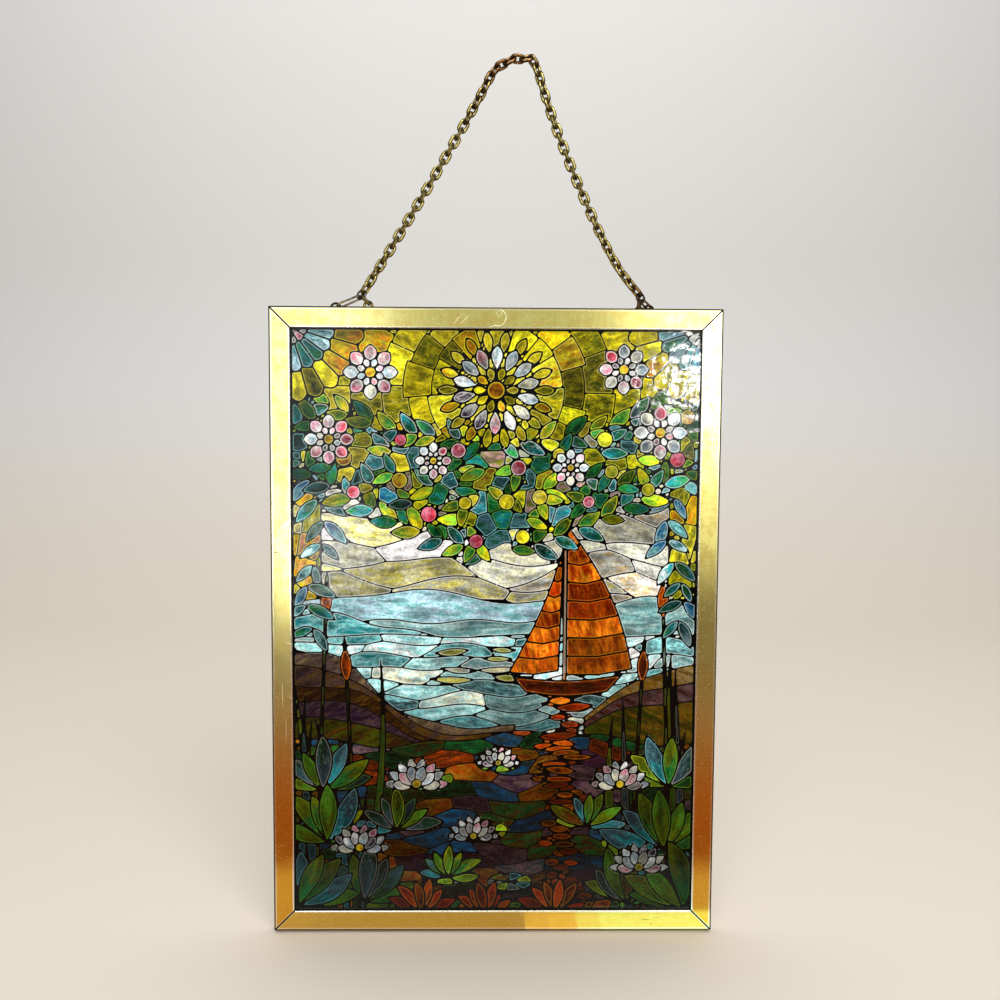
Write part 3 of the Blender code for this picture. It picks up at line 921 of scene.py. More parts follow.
def nearestSeeds(points, seeds, cosine, sine, stretch):
    # Each point's nearest seed, and how far and which way its pane's border lies. The points and
    # seeds are measured shorter along the heading, the distance and the way in true millimetres.
    first = np.empty(len(points), int)
    border = np.empty(len(points))
    way = np.empty((len(points), 2))
    step = max(1, picture["batch"] // len(seeds))
    for start in range(0, len(points), step):
        batch = slice(start, start + step)
        gap = ((points[batch, None, :] - seeds) ** 2).sum(axis=-1)
        nearest = gap.argmin(axis=1)
        lines = np.arange(len(nearest))
        toward = seeds[None, :, :] - seeds[nearest][:, None, :]
        apart = np.sqrt((toward**2).sum(axis=-1)) + 1e-9
        x = (toward[..., 0] * cosine / stretch - toward[..., 1] * sine) / apart
        y = (toward[..., 0] * sine / stretch + toward[..., 1] * cosine) / apart
        steepness = np.sqrt(x**2 + y**2) + 1e-9
        halfway = (gap - gap[lines, nearest][:, None]) / (2 * apart) / steepness
        halfway[lines, nearest] = 1e9
        other = halfway.argmin(axis=1)
        first[batch] = nearest
        border[batch] = halfway[lines, other]
        way[batch, 0] = (x / steepness)[lines, other] * halfway[lines, other]
        way[batch, 1] = (y / steepness)[lines, other] * halfway[lines, other]
    return first, border, way


def layCells(canvas, outline, spacing, stretch, heading, palette, tone, wave=(0.0, 40.0)):
    # Fills an outline with crooked panes. Each grid point takes the pane of the nearest seed.
    block, (x, y) = blockAround(canvas, outline)
    away, outward = outlineDistance(outline, x, y)
    inside = away < 0
    height, length = wave
    swell = height * (np.sin(x / length * 2 * math.pi) + 0.5 * np.sin(x / length * 4.7 + 1.3))
    cosine, sine = math.cos(heading), math.sin(heading)
    along = ((x * cosine + (y + swell) * sine) / stretch)[inside]
    across = ((y + swell) * cosine - x * sine)[inside]
    points = np.stack((along, across), axis=-1)
    seeds = scatterSeeds(points.min(axis=0) - spacing, points.max(axis=0) + spacing, spacing)
    first, border, way = nearestSeeds(points, seeds, cosine, sine, stretch)
    edge = canvas["edge"][block]
    toLine = canvas["toLine"][block]
    outside = ~inside & (away - fine < edge)
    toLine[outside] = outward[outside]
    toLine[inside] = np.where((border < -away[inside])[:, None], way, outward[inside])
    edge[:] = np.where(inside, picture["reach"], np.minimum(edge, away - fine))
    edge[inside] = np.minimum(np.minimum(border, -away[inside]) - fine, picture["reach"])
    glasses = palettes[palette]
    picks = rng.integers(0, len(glasses), len(seeds))
    jitter = rng.uniform(*picture["cellTone"], len(seeds))[:, None] * tone
    shift = rng.uniform(0, picture["mottling"], (len(seeds), 2))
    shade = dusk(y[inside])[:, None]
    for number, layer in enumerate(("main", "second", "rim")):
        named = np.array([glassColours[glass[number]] for glass in glasses])
        colour = named[picks] * (jitter if number < 2 else tone)
        last = [glass[3] for glass in glasses] if number == 2 else np.zeros(len(glasses))
        alpha = np.array(last)[picks][first]
        canvas[layer][block][inside] = np.concatenate(
            (np.clip(colour[first] * shade, 0, 1), alpha[:, None]), axis=1
        )
    streak = np.stack((along * stretch / 3.0, across, np.zeros(len(points))), axis=-1)
    streak[:, :2] += shift[first]
    canvas["streak"][block][inside] = streak


# Outlines of single panes

def leafOutline(foot, heading, length, width, bend, belly=0.45, points=13):
    # A spine whose heading turns evenly by bend, and a half width that swells as a sine
    t = np.linspace(0, 1, points)
    turn = heading + bend * (t - 0.5)
    run = np.stack((np.cos(turn), np.sin(turn)), axis=1) * length / (points - 1)
    spine = np.asarray(foot) + np.concatenate(([[0, 0]], np.cumsum((run[1:] + run[:-1]) / 2, axis=0)))
    half = width / 2 * np.sin(math.pi * t ** (math.log(0.5) / math.log(belly))) ** 0.85
    side = np.stack((-np.sin(turn), np.cos(turn)), axis=1) * half[:, None]
    return np.concatenate((spine + side, (spine - side)[-2:0:-1]))


def roundOutline(centre, radius, flat=1.0, points=26):
    # A circle, its height pressed to a share of its width
    t = np.arange(points) * 2 * math.pi / points
    return np.asarray(centre) + np.stack((np.cos(t), np.sin(t) * flat), axis=1) * radius


def fanOutline(centre, inner, outer, low, high):
    # Part of a ring between two radii and two angles
    t = np.linspace(low, high, 7)
    arc = np.stack((np.cos(t), np.sin(t)), axis=1)
    return np.asarray(centre) + np.concatenate((arc * outer, arc[::-1] * inner))


def bandOutline(low, high, left=-99.0, right=99.0, points=50):
    # Between two lines, each a height for every x
    x = np.linspace(left, right, points)
    return np.concatenate((np.stack((x, low(x)), axis=1), np.stack((x, high(x)), axis=1)[::-1]))


def level(height):
    return lambda x: height + 0 * x


print("glass tools ready")


# Parts of the picture, from the back to the front

def glassList(words, width=0.5):
    # Panes parted by commas. Each names its main glass, its second, the glass beside its lines
    # and, where it differs from the rest, how wide that is.
    glasses = []
    for pane in words.split(","):
        main, second, rim, *own = pane.split()
        glasses.append((main, second, rim, float(own[0]) if own else width))
    return glasses


palettes = {
    "field": glassList(
        "olive lemon lemon, lemon olive straw, olive amber lemon, lemon amber straw, "
        "olive moss lemon, olive moss straw, moss olive lemon, olive lemon straw, "
        "moss olive olive",
    ),
    "sideField": glassList(
        "olive lemon straw, amber olive lemon, olive moss straw, amber rust lemon, "
        "spray lemon cream, moss olive lime, smoke straw cream",
    ),
    "sky": glassList(
        "cream straw milk, cloud cream milk, straw cream milk, cream cloud milk, "
        "cloud straw milk, cloud sand milk",
    ),
    "sea": glassList(
        "sea spray spray, spray sea milk, sea teal spray, spray cream milk, sea slate spray, "
        "sea spray spray",
    ),
    "leftBank": glassList(
        "mauve sand mauve, ochre mauve ochre, bark ochre bark, mauve plum mauve, moss bark moss", 0.4,
    ),
    "rightBank": glassList("ochre sand ochre, mauve bark mauve, moss ochre moss", 0.4),
    "pond": glassList(
        "slate blue slate, bark ochre bark, bark rust rust, forest green green, "
        "plum bark plum, blue slate slate, mauve plum mauve, green bark moss, "
        "mauve slate slate, rust ochre ochre", 0.4,
    ),
    "thicket": glassList(
        "green teal leaf, teal slate spray, forest green leaf, moss bark lime, "
        "olive moss lime, blue teal ice, mauve moss smoke, olive lemon straw, "
        "slate forest sea, smoke olive spray",
    ),
    "leaves": glassList(
        "green leaf lime, green teal leaf, teal green spray, forest green leaf, "
        "green moss lime, leaf olive lime, forest teal spray, slate green spray, "
        "olive leaf straw",
    ),
    "coolLeaves": glassList(
        "teal ice spray, green teal spray, blue sea ice, teal green spray, sea teal spray", 0.6,
    ),
    "darkLeaves": glassList(
        "green moss leaf, moss leaf leaf, leaf moss lime 0.4, forest slate leaf, "
        "teal slate sea 0.4, green moss leaf, slate forest smoke, bark moss moss 0.4",
    ),
    "jewels": glassList(
        "lemon olive straw, lemon straw straw, olive lemon straw, amber lemon straw, "
        "lime lemon straw", 0.6,
    ),
    "redJewels": glassList("rose pink pink, pink rose milk", 0.6),
    "heath": glassList("rust brick orange, bark brick rust, umber rust amber", 0.8),
    "petals": glassList(
        "milk ice milk, cloud pink milk, ice milk milk, cloud milk milk, cloud plum milk, "
        "cream cloud milk",
    ),
    "blush": glassList(
        "pink milk milk, milk ice milk, cream cloud milk, cloud pink milk, ice milk milk, "
        "pink rose milk 0.9", 0.8,
    ),
    "sails": glassList("brick orange orange, brick rust orange, rust orange amber"),
    "embers": glassList("brick rust orange, rust umber amber, brick orange orange, bark brick rust"),
}


def pick(name):
    choices = palettes[name]
    return choices[rng.integers(len(choices))]


def layField(canvas, centre):
    # Panes between rings and rays about the rosette
    rings = (22, 32, 43, 56, 70, 86, 104, 124)
    counts = (14, 17, 20, 24, 28, 32, 36)
    # the outer rings come first, and each reaches under the next one in
    for inner, outer, count in list(zip(rings, rings[1:], counts))[::-1]:
        cuts = (np.arange(count + 1) + rng.uniform(0, 1)) * 2 * math.pi / count
        cuts[:-1] += rng.uniform(-0.28, 0.28, count) * 2 * math.pi / count
        cuts[-1] = cuts[0] + 2 * math.pi
        for low, high in zip(cuts, cuts[1:]):
            middle = (low + high) / 2
            if centre[1] + math.sin(middle) * (inner + outer) / 2 < 170:
                continue
            bulge = rng.uniform(-1.6, 1.6)
            layPiece(
                canvas, fanOutline(centre, inner - 3.0, outer + bulge, low, high), pick("field"), fine,
                heading=middle, stretch=2.0, tone=rng.uniform(0.85, 1.3),
            )


def laySky(canvas):
    # Long crooked panes, stretched level
    sky = bandOutline(level(136), level(222), -84, 84)
    layCells(canvas, sky, 9.5, 4.4, 0.0, "sky", 1.08, (2.6, 70))


def hill(foot, rise, peak, breadth, ripple):
    # A bell-shaped rise on a level foot, with a small wave
    def height(x):
        bell = np.exp(-(((x - peak) / breadth) ** 2))
        return foot + rise * bell + 1.1 * np.sin(x / ripple + peak)

    return height


def layHills(canvas):
    for low, height, rise, peak, breadth, ripple, glass in (
        (132, 154, 6, -40, 24, 9, ("ice", "sea", "spray", 0.5)),
        (130, 144, 12, 72, 34, 7, ("sea", "spray", "spray", 0.5)),
        (128, 136, 12, -86, 38, 6, ("teal", "sea", "spray", 0.5)),
    ):
        ridge = hill(height, rise, peak, breadth, ripple)
        layPiece(canvas, bandOutline(level(low), ridge), glass, fine, stretch=4, tone=1.35)


def laySea(canvas):
    sea = bandOutline(level(84), lambda x: 137 + 0.8 * np.sin(x / 11))
    layCells(canvas, sea, 5.8, 5.2, 0.0, "sea", 1.35, (1.5, 46))
    glints = glassList("lime straw cream, straw cream milk, cream spray milk")
    for _ in range(8):
        place = (rng.normal(-24, 15), rng.uniform(104, 132))
        heading, length, width = rng.normal(0, 0.06), rng.uniform(12, 22), rng.uniform(2.4, 3.8)
        glint = leafOutline(place, heading, length, width, 0.2, 0.5)
        layPiece(canvas, glint, glints[rng.integers(3)], fine, stretch=4)


def laySail(canvas, luff, leech, lean):
    # Panels between matching points on a sail's two edges, their seams sagging a little
    for i in range(len(luff) - 1):
        sag = np.array((0, -1.4))
        over = [] if i == 0 else [(luff[i] + leech[i]) / 2 + sag]
        under = (luff[i + 1] + leech[i + 1]) / 2 + sag
        panel = np.array([luff[i], *over, leech[i], leech[i + 1], under, luff[i + 1]])
        layPiece(canvas, panel, pick("sails"), bold, -1.3, lean, 3.5)


def between(first, last, share):
    # The points at shares of the way from the first to the last
    return np.array(first) * (1 - share) + np.array(last) * share


def layBoat(canvas, x, y):
    # Two sails of sewn panels, a mast and a hull. The sails swell and the hull dips as a sine.
    seams = np.linspace(0, 1, 9)[:, None]
    belly = np.sin(math.pi * seams) * np.array((1.0, 0.0))
    head, foot, clew = np.array(((x + 1, y + 79.0), (x + 1, y + 6.0), (x + 33, y + 9.0)))
    laySail(canvas, head + (foot - head) * seams, head + (clew - head) * seams + 5.5 * belly, 0.5)
    head, foot, tack = np.array(((x - 1, y + 68.0), (x - 3, y + 8.0), (x - 27, y + 7.0)))
    laySail(canvas, head + (tack - head) * seams + 2.5 * belly, head + (foot - head) * seams, -0.5)
    mast = np.array(((x - 0.8, y + 2), (x + 0.8, y + 2), (x + 0.5, y + 84), (x - 0.5, y + 84)))
    layPiece(canvas, mast, ("bark", "amber", "amber", 0.3), fine)
    along = np.linspace(0, 1, 11)[:, None]
    dip = np.sin(math.pi * along) * np.array((0.0, 1.0))
    rail = between((x - 25, y + 4.8), (x + 28, y + 5.8), along) - 2.4 * dip
    keel = between((x - 19, y - 2.5), (x + 21, y - 2.2), along) - 2.2 * dip
    hull = np.concatenate((rail, keel[::-1]))
    layPiece(canvas, hull, ("bark", "brick", "orange", 0.6), bold, stretch=5)


def layReflection(canvas, x, top, foot):
    # The sails broken up on the water in flat lozenges, wide above and narrow below
    y = top
    while y > foot:
        share = (top - y) / (top - foot)
        for _ in range(2):
            width = rng.uniform(12, 24) * (1 - 0.55 * share)
            place = (x + rng.normal(0, 4.5) - width / 2, y + rng.uniform(-1, 1))
            lozenge = leafOutline(place, rng.normal(0, 0.05), width, rng.uniform(3.0, 4.4), 0.15, 0.5)
            layPiece(canvas, lozenge, pick("embers"), fine, stretch=4, tone=1.6)
        y -= rng.uniform(3.2, 4.2)


def bankTop(side, rise, number):
    # A bank's upper line: level near the middle, and up an S curve towards its own side. Each
    # next one lies lower.
    drop = 8.5 * number

    def height(x):
        climb = (rise - 0.55 * drop) / (1 + np.exp((58 - drop * 0.4 - side * x) / 9))
        return 92 - 0.45 * drop + climb + 1.2 * np.sin(x / (7 + number) + number)

    return height


def layBanks(canvas):
    # Slopes of a few long panes, each lower one over the foot of the one above
    for side, reach, rise, palette in ((-1, 10, 38, "leftBank"), (1, -44, 30, "rightBank")):
        ends = sorted((side * 99.0, -side * reach))
        for number, glass in enumerate(palettes[palette]):
            bank = bandOutline(level(60), bankTop(side, rise, number), *ends)
            layPiece(canvas, bank, glass, fine, -side * 0.4, 0.3 * (-1) ** number, 4.5, 1.1)


def layPond(canvas):
    pond = bandOutline(level(-1), lambda x: 86 + 3.5 * np.sin(x / 24 + 0.6) + 1.2 * np.sin(x / 7))
    layCells(canvas, pond, 7.0, 3.2, 0.0, "pond", 1.6, (2.0, 52))


def layPad(canvas, centre, radius, flat, notch):
    # A floating leaf: panes about its notch, seen low
    cuts = notch + np.linspace(0.16, 2 * math.pi - 0.16, 8)
    for low, high in zip(cuts, cuts[1:]):
        outline = fanOutline((0, 0), 0.9, radius, low, high) * (1, flat) + centre
        layPiece(canvas, outline, pick("darkLeaves"), fine, (low + high) / 2, 0.6, 2.5, 3.2)


def layLily(canvas, centre, size):
    # Two rows of pointed petals opening upwards, the front row lower
    fan = 2.9
    for count, reach, wide in ((8, 1.0, 0.34), (6, 0.72, 0.36)):
        for turn in sorted(np.linspace(-fan / 2, fan / 2, count), key=abs, reverse=True):
            heading = math.pi / 2 - turn
            foot = (centre[0] + turn * 0.8, centre[1])
            petal = leafOutline(foot, heading, size * reach, size * wide, 0.0, 0.58)
            layPiece(canvas, petal, pick("petals"), fine, heading, 0.5, 2.0, 1.8)
    boss = roundOutline((centre[0], centre[1] + size * 0.10), size * 0.15)
    layPiece(canvas, boss, ("lemon", "amber", "straw", 0.4), fine, tone=2.0)


def layTuft(canvas, foot, size, count, low, high, palette, tone):
    # Broad blades fanned out from one foot, the outer ones first
    turns = np.linspace(low, high, count) + rng.normal(0, 0.05, count)
    middle = (low + high) / 2
    for turn in sorted(turns, key=lambda turn: -abs(turn - middle)):
        length = size * rng.uniform(0.82, 1.1)
        blade = leafOutline(foot, turn, length, length * 0.30, rng.normal(0, 0.3), 0.55, 17)
        layPiece(canvas, blade, pick(palette), bold, turn, 0.8, 3.5, tone)


def layStones(canvas):
    # Low stones along the foot, warm ones to the right of the middle
    x = -99.0
    warm = glassList("rust brick orange, brick orange orange, rust umber amber", 0.6)
    cool = glassList("bark rust ochre, umber plum mauve, moss forest leaf")
    while x < 99:
        width = rng.uniform(9, 17)
        height = rng.uniform(4, 8)
        radius = width / 2 + 0.8
        stone = roundOutline((x + width / 2, height * 0.1), radius, height / radius * 0.85, 20)
        stone = stone + rng.normal(0, 0.25, stone.shape)
        glass = (warm if rng.random() < math.exp(-(((x - 30) / 40) ** 2)) else cool)[rng.integers(3)]
        layPiece(canvas, stone, glass, fine, 0.0, 0.4, 2.5, 2.4)
        x += width * 0.86


def layReeds(canvas, side):
    # Tall bending blades from the foot, and two stems with seed heads
    for _ in range(8):
        foot = (side * rng.uniform(58, 99), -4)
        height = rng.uniform(70, 150) * (0.6 + 0.4 * abs(foot[0]) / 98)
        heading = math.pi / 2 + side * rng.uniform(-0.16, 0.10)
        width, bend = rng.uniform(3.6, 5.6), side * rng.uniform(-0.5, 0.35)
        blade = leafOutline(foot, heading, height, width, bend, 0.33, 25)
        layPiece(canvas, blade, pick("darkLeaves"), fine, heading, 0.7, 5.0, 1.6)
    for reach, height, lean in ((88, 150, 0.04), (66, 118, -0.05)):
        foot = np.array((side * reach, -4.0))
        heading = math.pi / 2 + side * lean
        along = np.array((math.cos(heading), math.sin(heading)))
        aside = np.array((-along[1], along[0])) * 0.7
        top = foot + along * height
        stem = np.array((foot - aside, top - aside, top + aside, foot + aside))
        layPiece(canvas, stem, ("leaf", "moss", "lime", 0.2), fine)
        tip = leafOutline(top + along * 15, heading, 7, 1.7, 0, 0.4)
        layPiece(canvas, tip, ("moss", "lime", "lime", 0.2), fine)
        head = leafOutline(top, heading, 17, 5.4, 0.0, 0.5, 17)
        layPiece(canvas, head, ("rust", "bark", "orange", 0.7), fine, heading, 0.0, 4.0)


def swagHeight(x):
    # The swag's middle, lowest at the centre and rising with the 1.7th power of the way out
    return 205 + 34 * np.abs(x / 98) ** 1.7


def swagHalf(x):
    # Half of its breadth, which falls evenly to both sides
    return 28 - 10 * np.abs(x) / 98


def layLeafRow(canvas, offset, length, width, spacing, palette):
    # Pairs of leaves along the swag, pointing away from its middle
    for side in (-1, 1):
        x = rng.uniform(0, spacing)
        while x < 101:
            here = np.array((side * x, swagHeight(x) + offset * swagHalf(x)))
            rise = (swagHeight(x + 1) - swagHeight(x)) + offset * (swagHalf(x + 1) - swagHalf(x))
            line = math.atan2(rise, side)
            for turn in (0.62, -0.62):
                heading = line + turn * side + rng.normal(0, 0.2)
                size = rng.uniform(0.85, 1.15)
                leaf = leafOutline(here, heading, length * size, width * size, rng.normal(0, 0.25))
                layPiece(canvas, leaf, pick(palette), fine, heading, 0.6, 2.6, rng.uniform(0.75, 1.75))
            x += spacing * rng.uniform(0.85, 1.2)


def laySwag(canvas):
    # A thicket of small panes, rows of leaves over it, and round fruit kept apart from each other
    outline = bandOutline(
        lambda x: swagHeight(x) - 0.88 * swagHalf(x) + 1.6 * np.sin(x / 3.1),
        lambda x: swagHeight(x) + 0.88 * swagHalf(x) + 1.6 * np.sin(x / 3.7 + 1),
        points=120,
    )
    layCells(canvas, outline, 8.6, 1.1, 0.0, "thicket", 1.25)
    for offset, spacing in ((0.95, 10.0), (-0.95, 10.0), (0.45, 21.0), (-0.45, 21.0), (0.0, 21.0)):
        layLeafRow(canvas, offset, 13.5, 5.8, spacing, "leaves")
    placed = []
    for _ in range(900):
        x = rng.uniform(-94, 94)
        y = swagHeight(x) + rng.uniform(-0.85, 0.8) * swagHalf(x)
        if len(placed) < 22 and all((x - a) ** 2 + (y - b) ** 2 > 15**2 for a, b in placed):
            placed.append((x, y))
    for number, place in enumerate(placed):
        turn = rng.uniform(0, 2 * math.pi)
        for step in range(rng.integers(0, 3)):
            heading = turn + step * 1.1
            leaf = leafOutline(place, heading, 12.5, 5.4, 0.2)
            layPiece(canvas, leaf, pick("leaves"), fine, heading, 0.6, 2.6, 1.2)
        fruit = roundOutline(place, rng.uniform(2.8, 4.0))
        glass = pick("redJewels" if number % 3 == 0 else "jewels")
        layPiece(canvas, fruit, glass, fine, rng.uniform(0, 3), 0.5, 1.5)


def layDrop(canvas, side):
    # A hanging spray down the side
    y = 232.0
    while y > 140:
        x = side * (87 + 4.5 * math.sin(y / 11))
        for turn in (-0.75, 0.75):
            heading = -math.pi / 2 + turn + rng.normal(0, 0.22)
            size = rng.uniform(0.85, 1.25)
            leaf = leafOutline((x, y), heading, 13.5 * size, 5.0 * size, -0.3 * turn)
            layPiece(canvas, leaf, pick("coolLeaves"), fine, heading, 0.6, 2.6, rng.uniform(0.8, 1.25))
        y -= rng.uniform(8.0, 11.5)


def layPetalRing(canvas, centre, count, inner, length, width, start, palette, line, lean, tone=1.0):
    # Petals about a centre, each starting at the inner radius and pointing outwards
    for turn in start + np.arange(count) * 2 * math.pi / count:
        foot = np.array(centre) + inner * np.array((math.cos(turn), math.sin(turn)))
        petal = leafOutline(foot, turn, length, width, 0, 0.62)
        layPiece(canvas, petal, pick(palette), line, turn, lean, 2, tone)


def layRosette(canvas, centre):
    layPetalRing(canvas, centre, 18, 16, 12.5, 4.8, 0.0, "field", bold, 0.6)
    layPetalRing(canvas, centre, 14, 8.5, 13.0, 5.8, 0.2, "petals", bold, 0.6)
    layPetalRing(canvas, centre, 10, 3.4, 8.0, 4.2, 0.0, "field", bold, 0.6)
    layPiece(canvas, roundOutline(centre, 4.4), ("amber", "rust", "lemon", 0.8), bold)


def layBlossom(canvas, centre, size):
    # Eight rounded petals, a ring of eight short ones and a yellow boss
    for inner, length, width, start, palette in (
        (0.22, 0.80, 0.50, 0.0, "blush"), (0.12, 0.42, 0.26, 0.39, "petals"),
    ):
        reach = (size * inner, size * length, size * width)
        layPetalRing(canvas, centre, 8, *reach, start, palette, fine, 0.5, 1.15)
    layPiece(canvas, roundOutline(centre, size * 0.2), ("lemon", "amber", "straw", 0.5), fine)


def layCornerFan(canvas, side):
    # Three rows of panes about an upper corner, with rounded outer ends
    across, up = layout["cornerFan"]
    centre = (side * across, up)
    start = math.pi if side > 0 else 1.5 * math.pi
    rows = ((20, 33, 6, "field"), (8, 20, 5, "coolLeaves"), (0.5, 8, 3, "petals"))
    for inner, outer, count, palette in rows:
        cuts = start + np.linspace(0, math.pi / 2, count + 1)
        for low, high in zip(cuts, cuts[1:]):
            outline = fanOutline(centre, inner, outer, low, high)
            arc = len(outline) // 2
            swell = 0.09 * np.sin(np.linspace(0, math.pi, arc))[:, None]
            outline[:arc] += (outline[:arc] - centre) * swell
            layPiece(canvas, outline, pick(palette), bold, (low + high) / 2, 0.5, 2)


layout = {
    "pads": (  # (centre, radius, the notch's turn)
        ((-34, 66), 14, 0.6), ((62, 66), 13, 2.4), ((2, 74), 11, 4.4), ((-6, 40), 13, 0.9),
        ((-58, 44), 15, 5.5), ((68, 34), 15, 2.8), ((-22, 18), 13, 3.9), ((8, 14), 11, 1.8),
    ),
    "tufts": (  # (foot, size, blades, first heading, last heading)
        ((-84, 60), 26, 7, 0.2, 2.9), ((86, 62), 26, 7, 0.2, 2.9), ((-48, 40), 22, 7, 0.1, 3.0),
        ((46, 42), 20, 7, 0.1, 3.0), ((-82, 34), 30, 7, 0.3, 2.7), ((84, 30), 32, 7, 0.4, 2.8),
        ((-22, 16), 18, 7, 0.1, 3.0), ((-64, 4), 30, 7, 0.35, 2.6), ((66, 3), 28, 7, 0.4, 2.7),
        ((-96, 2), 34, 6, 0.2, 1.8), ((94, 0), 34, 6, 1.2, 2.9),
    ),
    "heath": (((-36, -2), 20, 6, 0.4, 2.7), ((-4, -3), 17, 6, 0.5, 2.6), ((30, -2), 20, 6, 0.4, 2.8)),
    "lilies": (  # (foot, size)
        ((-38, 62), 15), ((62, 62), 14), ((-66, 30), 14),
        ((72, 20), 14), ((2, 73), 10), ((-10, 36), 12),
    ),
    "blossoms": (  # (centre, size)
        ((-60, 264), 13), ((61, 266), 12), ((-80, 232), 12),
        ((79, 236), 13), ((-30, 222), 9), ((36, 219), 9),
    ),
    "rosette": 29,  # below the sight's top
    "boat": (34, 112),
    "farReflection": (34, 108, 88),  # (middle, top, foot), on the sea
    "nearReflection": (32, 86, 6),  # and on the pond
    "cornerFan": (98.5, 285.5),
    "outerLine": 0.85,  # the black line round the sight
}


def paintPicture(width, height):
    # From the back to the front, so that each part covers what lies behind it
    canvas = newCanvas(width, height)
    rosette = (0.0, height - layout["rosette"])
    layPiece(canvas, bandOutline(level(-1), level(287)), ("olive", "lemon", "straw", 0.5), fine)
    layField(canvas, rosette)
    for side in (-1, 1):
        panel = bandOutline(level(110), level(240), *sorted((side * 99.0, side * 72.0)))
        layCells(canvas, panel, 9.0, 1.4, 1.3, "sideField", 1.1)
    laySky(canvas)
    layHills(canvas)
    laySea(canvas)
    layReflection(canvas, *layout["farReflection"])
    layBoat(canvas, *layout["boat"])
    layBanks(canvas)
    layPond(canvas)
    layReflection(canvas, *layout["nearReflection"])
    for centre, radius, notch in layout["pads"]:
        layPad(canvas, centre, radius, 0.42, notch)
    layStones(canvas)
    for side in (-1, 1):
        layReeds(canvas, side)
    for foot, size, count, low, high in layout["tufts"]:
        layTuft(canvas, foot, size, count, low, high, "darkLeaves", rng.uniform(1.6, 3.0))
    for foot, size, count, low, high in layout["heath"]:
        layTuft(canvas, foot, size, count, low, high, "heath", rng.uniform(1.6, 2.4))
    for centre, size in layout["lilies"]:
        layLily(canvas, centre, size)
    for side in (-1, 1):
        layDrop(canvas, side)
    laySwag(canvas)
    for side in (-1, 1):
        layCornerFan(canvas, side)
    for centre, size in layout["blossoms"]:
        layBlossom(canvas, centre, size)
    layRosette(canvas, rosette)
    fromFoot = np.minimum(canvas["y"], height - canvas["y"])
    fromSide = np.minimum(canvas["x"] + width / 2, width / 2 - canvas["x"])
    away = np.minimum.outer(fromFoot, fromSide) - layout["outerLine"]
    canvas["edge"] = np.minimum(canvas["edge"], away)
    return canvas


def rippledFace(canvas, y, ripple):
    # One point for each of the picture's, and rows under the rails, moved in and out by a sum of
    # crossing waves. A point near a black line's middle moves towards it. Also returns how far
    # the picture's points then are outside the lines.
    size = np.linalg.norm(canvas["toLine"], axis=-1)
    moved = np.where(size < picture["meet"], np.minimum(size, picture["snap"]), 0)
    shift = canvas["toLine"] * (moved / np.maximum(size, 1e-6))[..., None]
    border = np.array(picture["border"])
    x, z = (
        np.concatenate((line[0] - border[::-1], line, line[-1] + border)) * mm + start
        for line, start in ((canvas["x"], middleX), (canvas["y"], bottomEdge + picture["lip"] * mm))
    )
    gridX, gridZ = np.meshgrid(x, z)
    inSight = slice(len(border), -len(border))
    gridX[inSight, inSight] += shift[..., 0] * mm
    gridZ[inSight, inSight] += shift[..., 1] * mm
    waves = np.zeros(gridX.shape)
    for _ in range(picture["waves"]):
        turn = rng.uniform(0, math.pi)
        length = rng.uniform(3.4, 9.0) * mm
        phase = rng.uniform(0, 2 * math.pi)
        waves += np.sin((gridX * math.cos(turn) + gridZ * math.sin(turn)) * 2 * math.pi / length + phase)
    return np.stack((gridX, y + ripple * waves / 3, gridZ), axis=-1), canvas["edge"] - moved


def closedSlab(face, dense, other):
    # The dense face closed by sides and a plain other face of upright strips. A thick slab's
    # edges are ground off. Also returns the dense face's points round its rim.
    rows, columns = face.shape[:2]
    ids = np.arange(rows * columns).reshape(rows, columns)
    loop = np.concatenate((ids[0, :-1], ids[:-1, -1], ids[-1, :0:-1], ids[:0:-1, 0]))
    flip = 1 if dense < other else -1
    flat = face.reshape(-1, 3)
    rim = flat[loop]
    middle = np.array((middleX, 0, middleZ))
    reach = flat.max(axis=0) - middle - 1e-6
    reach[1] = math.inf
    out = np.where(np.abs(rim - middle) > reach, np.sign(rim - middle), 0) * sheets["groundWidth"]
    ground = sheets["groundDepth"] * flip
    thin = abs(other - dense) < 1 * mm
    levels = ((other, 0),) if thin else ((dense + ground, 1), (other - ground, 1), (other, 0))
    points = [flat]
    faces = [gridQuads(rows, columns)]
    before = loop
    for height, share in levels:
        ring = rim + out * share
        ring[:, 1] = height
        after = sum(len(some) for some in points) + np.arange(len(loop))
        points.append(ring)
        faces.append(np.stack((before, after, np.roll(after, -1), np.roll(before, -1)), axis=-1))
        before = after
    # upright strips between the foot and the head, with one face of many corners at each side
    low = before[:columns]
    head = before[columns - 1 + rows - 1 : 2 * columns - 1 + rows - 1][::-1]
    strips = np.stack((low[1:-2], head[1:-2], head[2:-1], low[2:-1]), axis=-1)
    rightSide = before[columns - 2 : columns + rows]
    leftSide = np.concatenate((before[2 * columns + rows - 4 :], before[:2]))
    everyFace = [*np.concatenate(faces), *strips, rightSide[::-1], leftSide[::-1]]
    if flip < 0:
        everyFace = [some[::-1] for some in everyFace]
    return np.concatenate(points), everyFace, loop


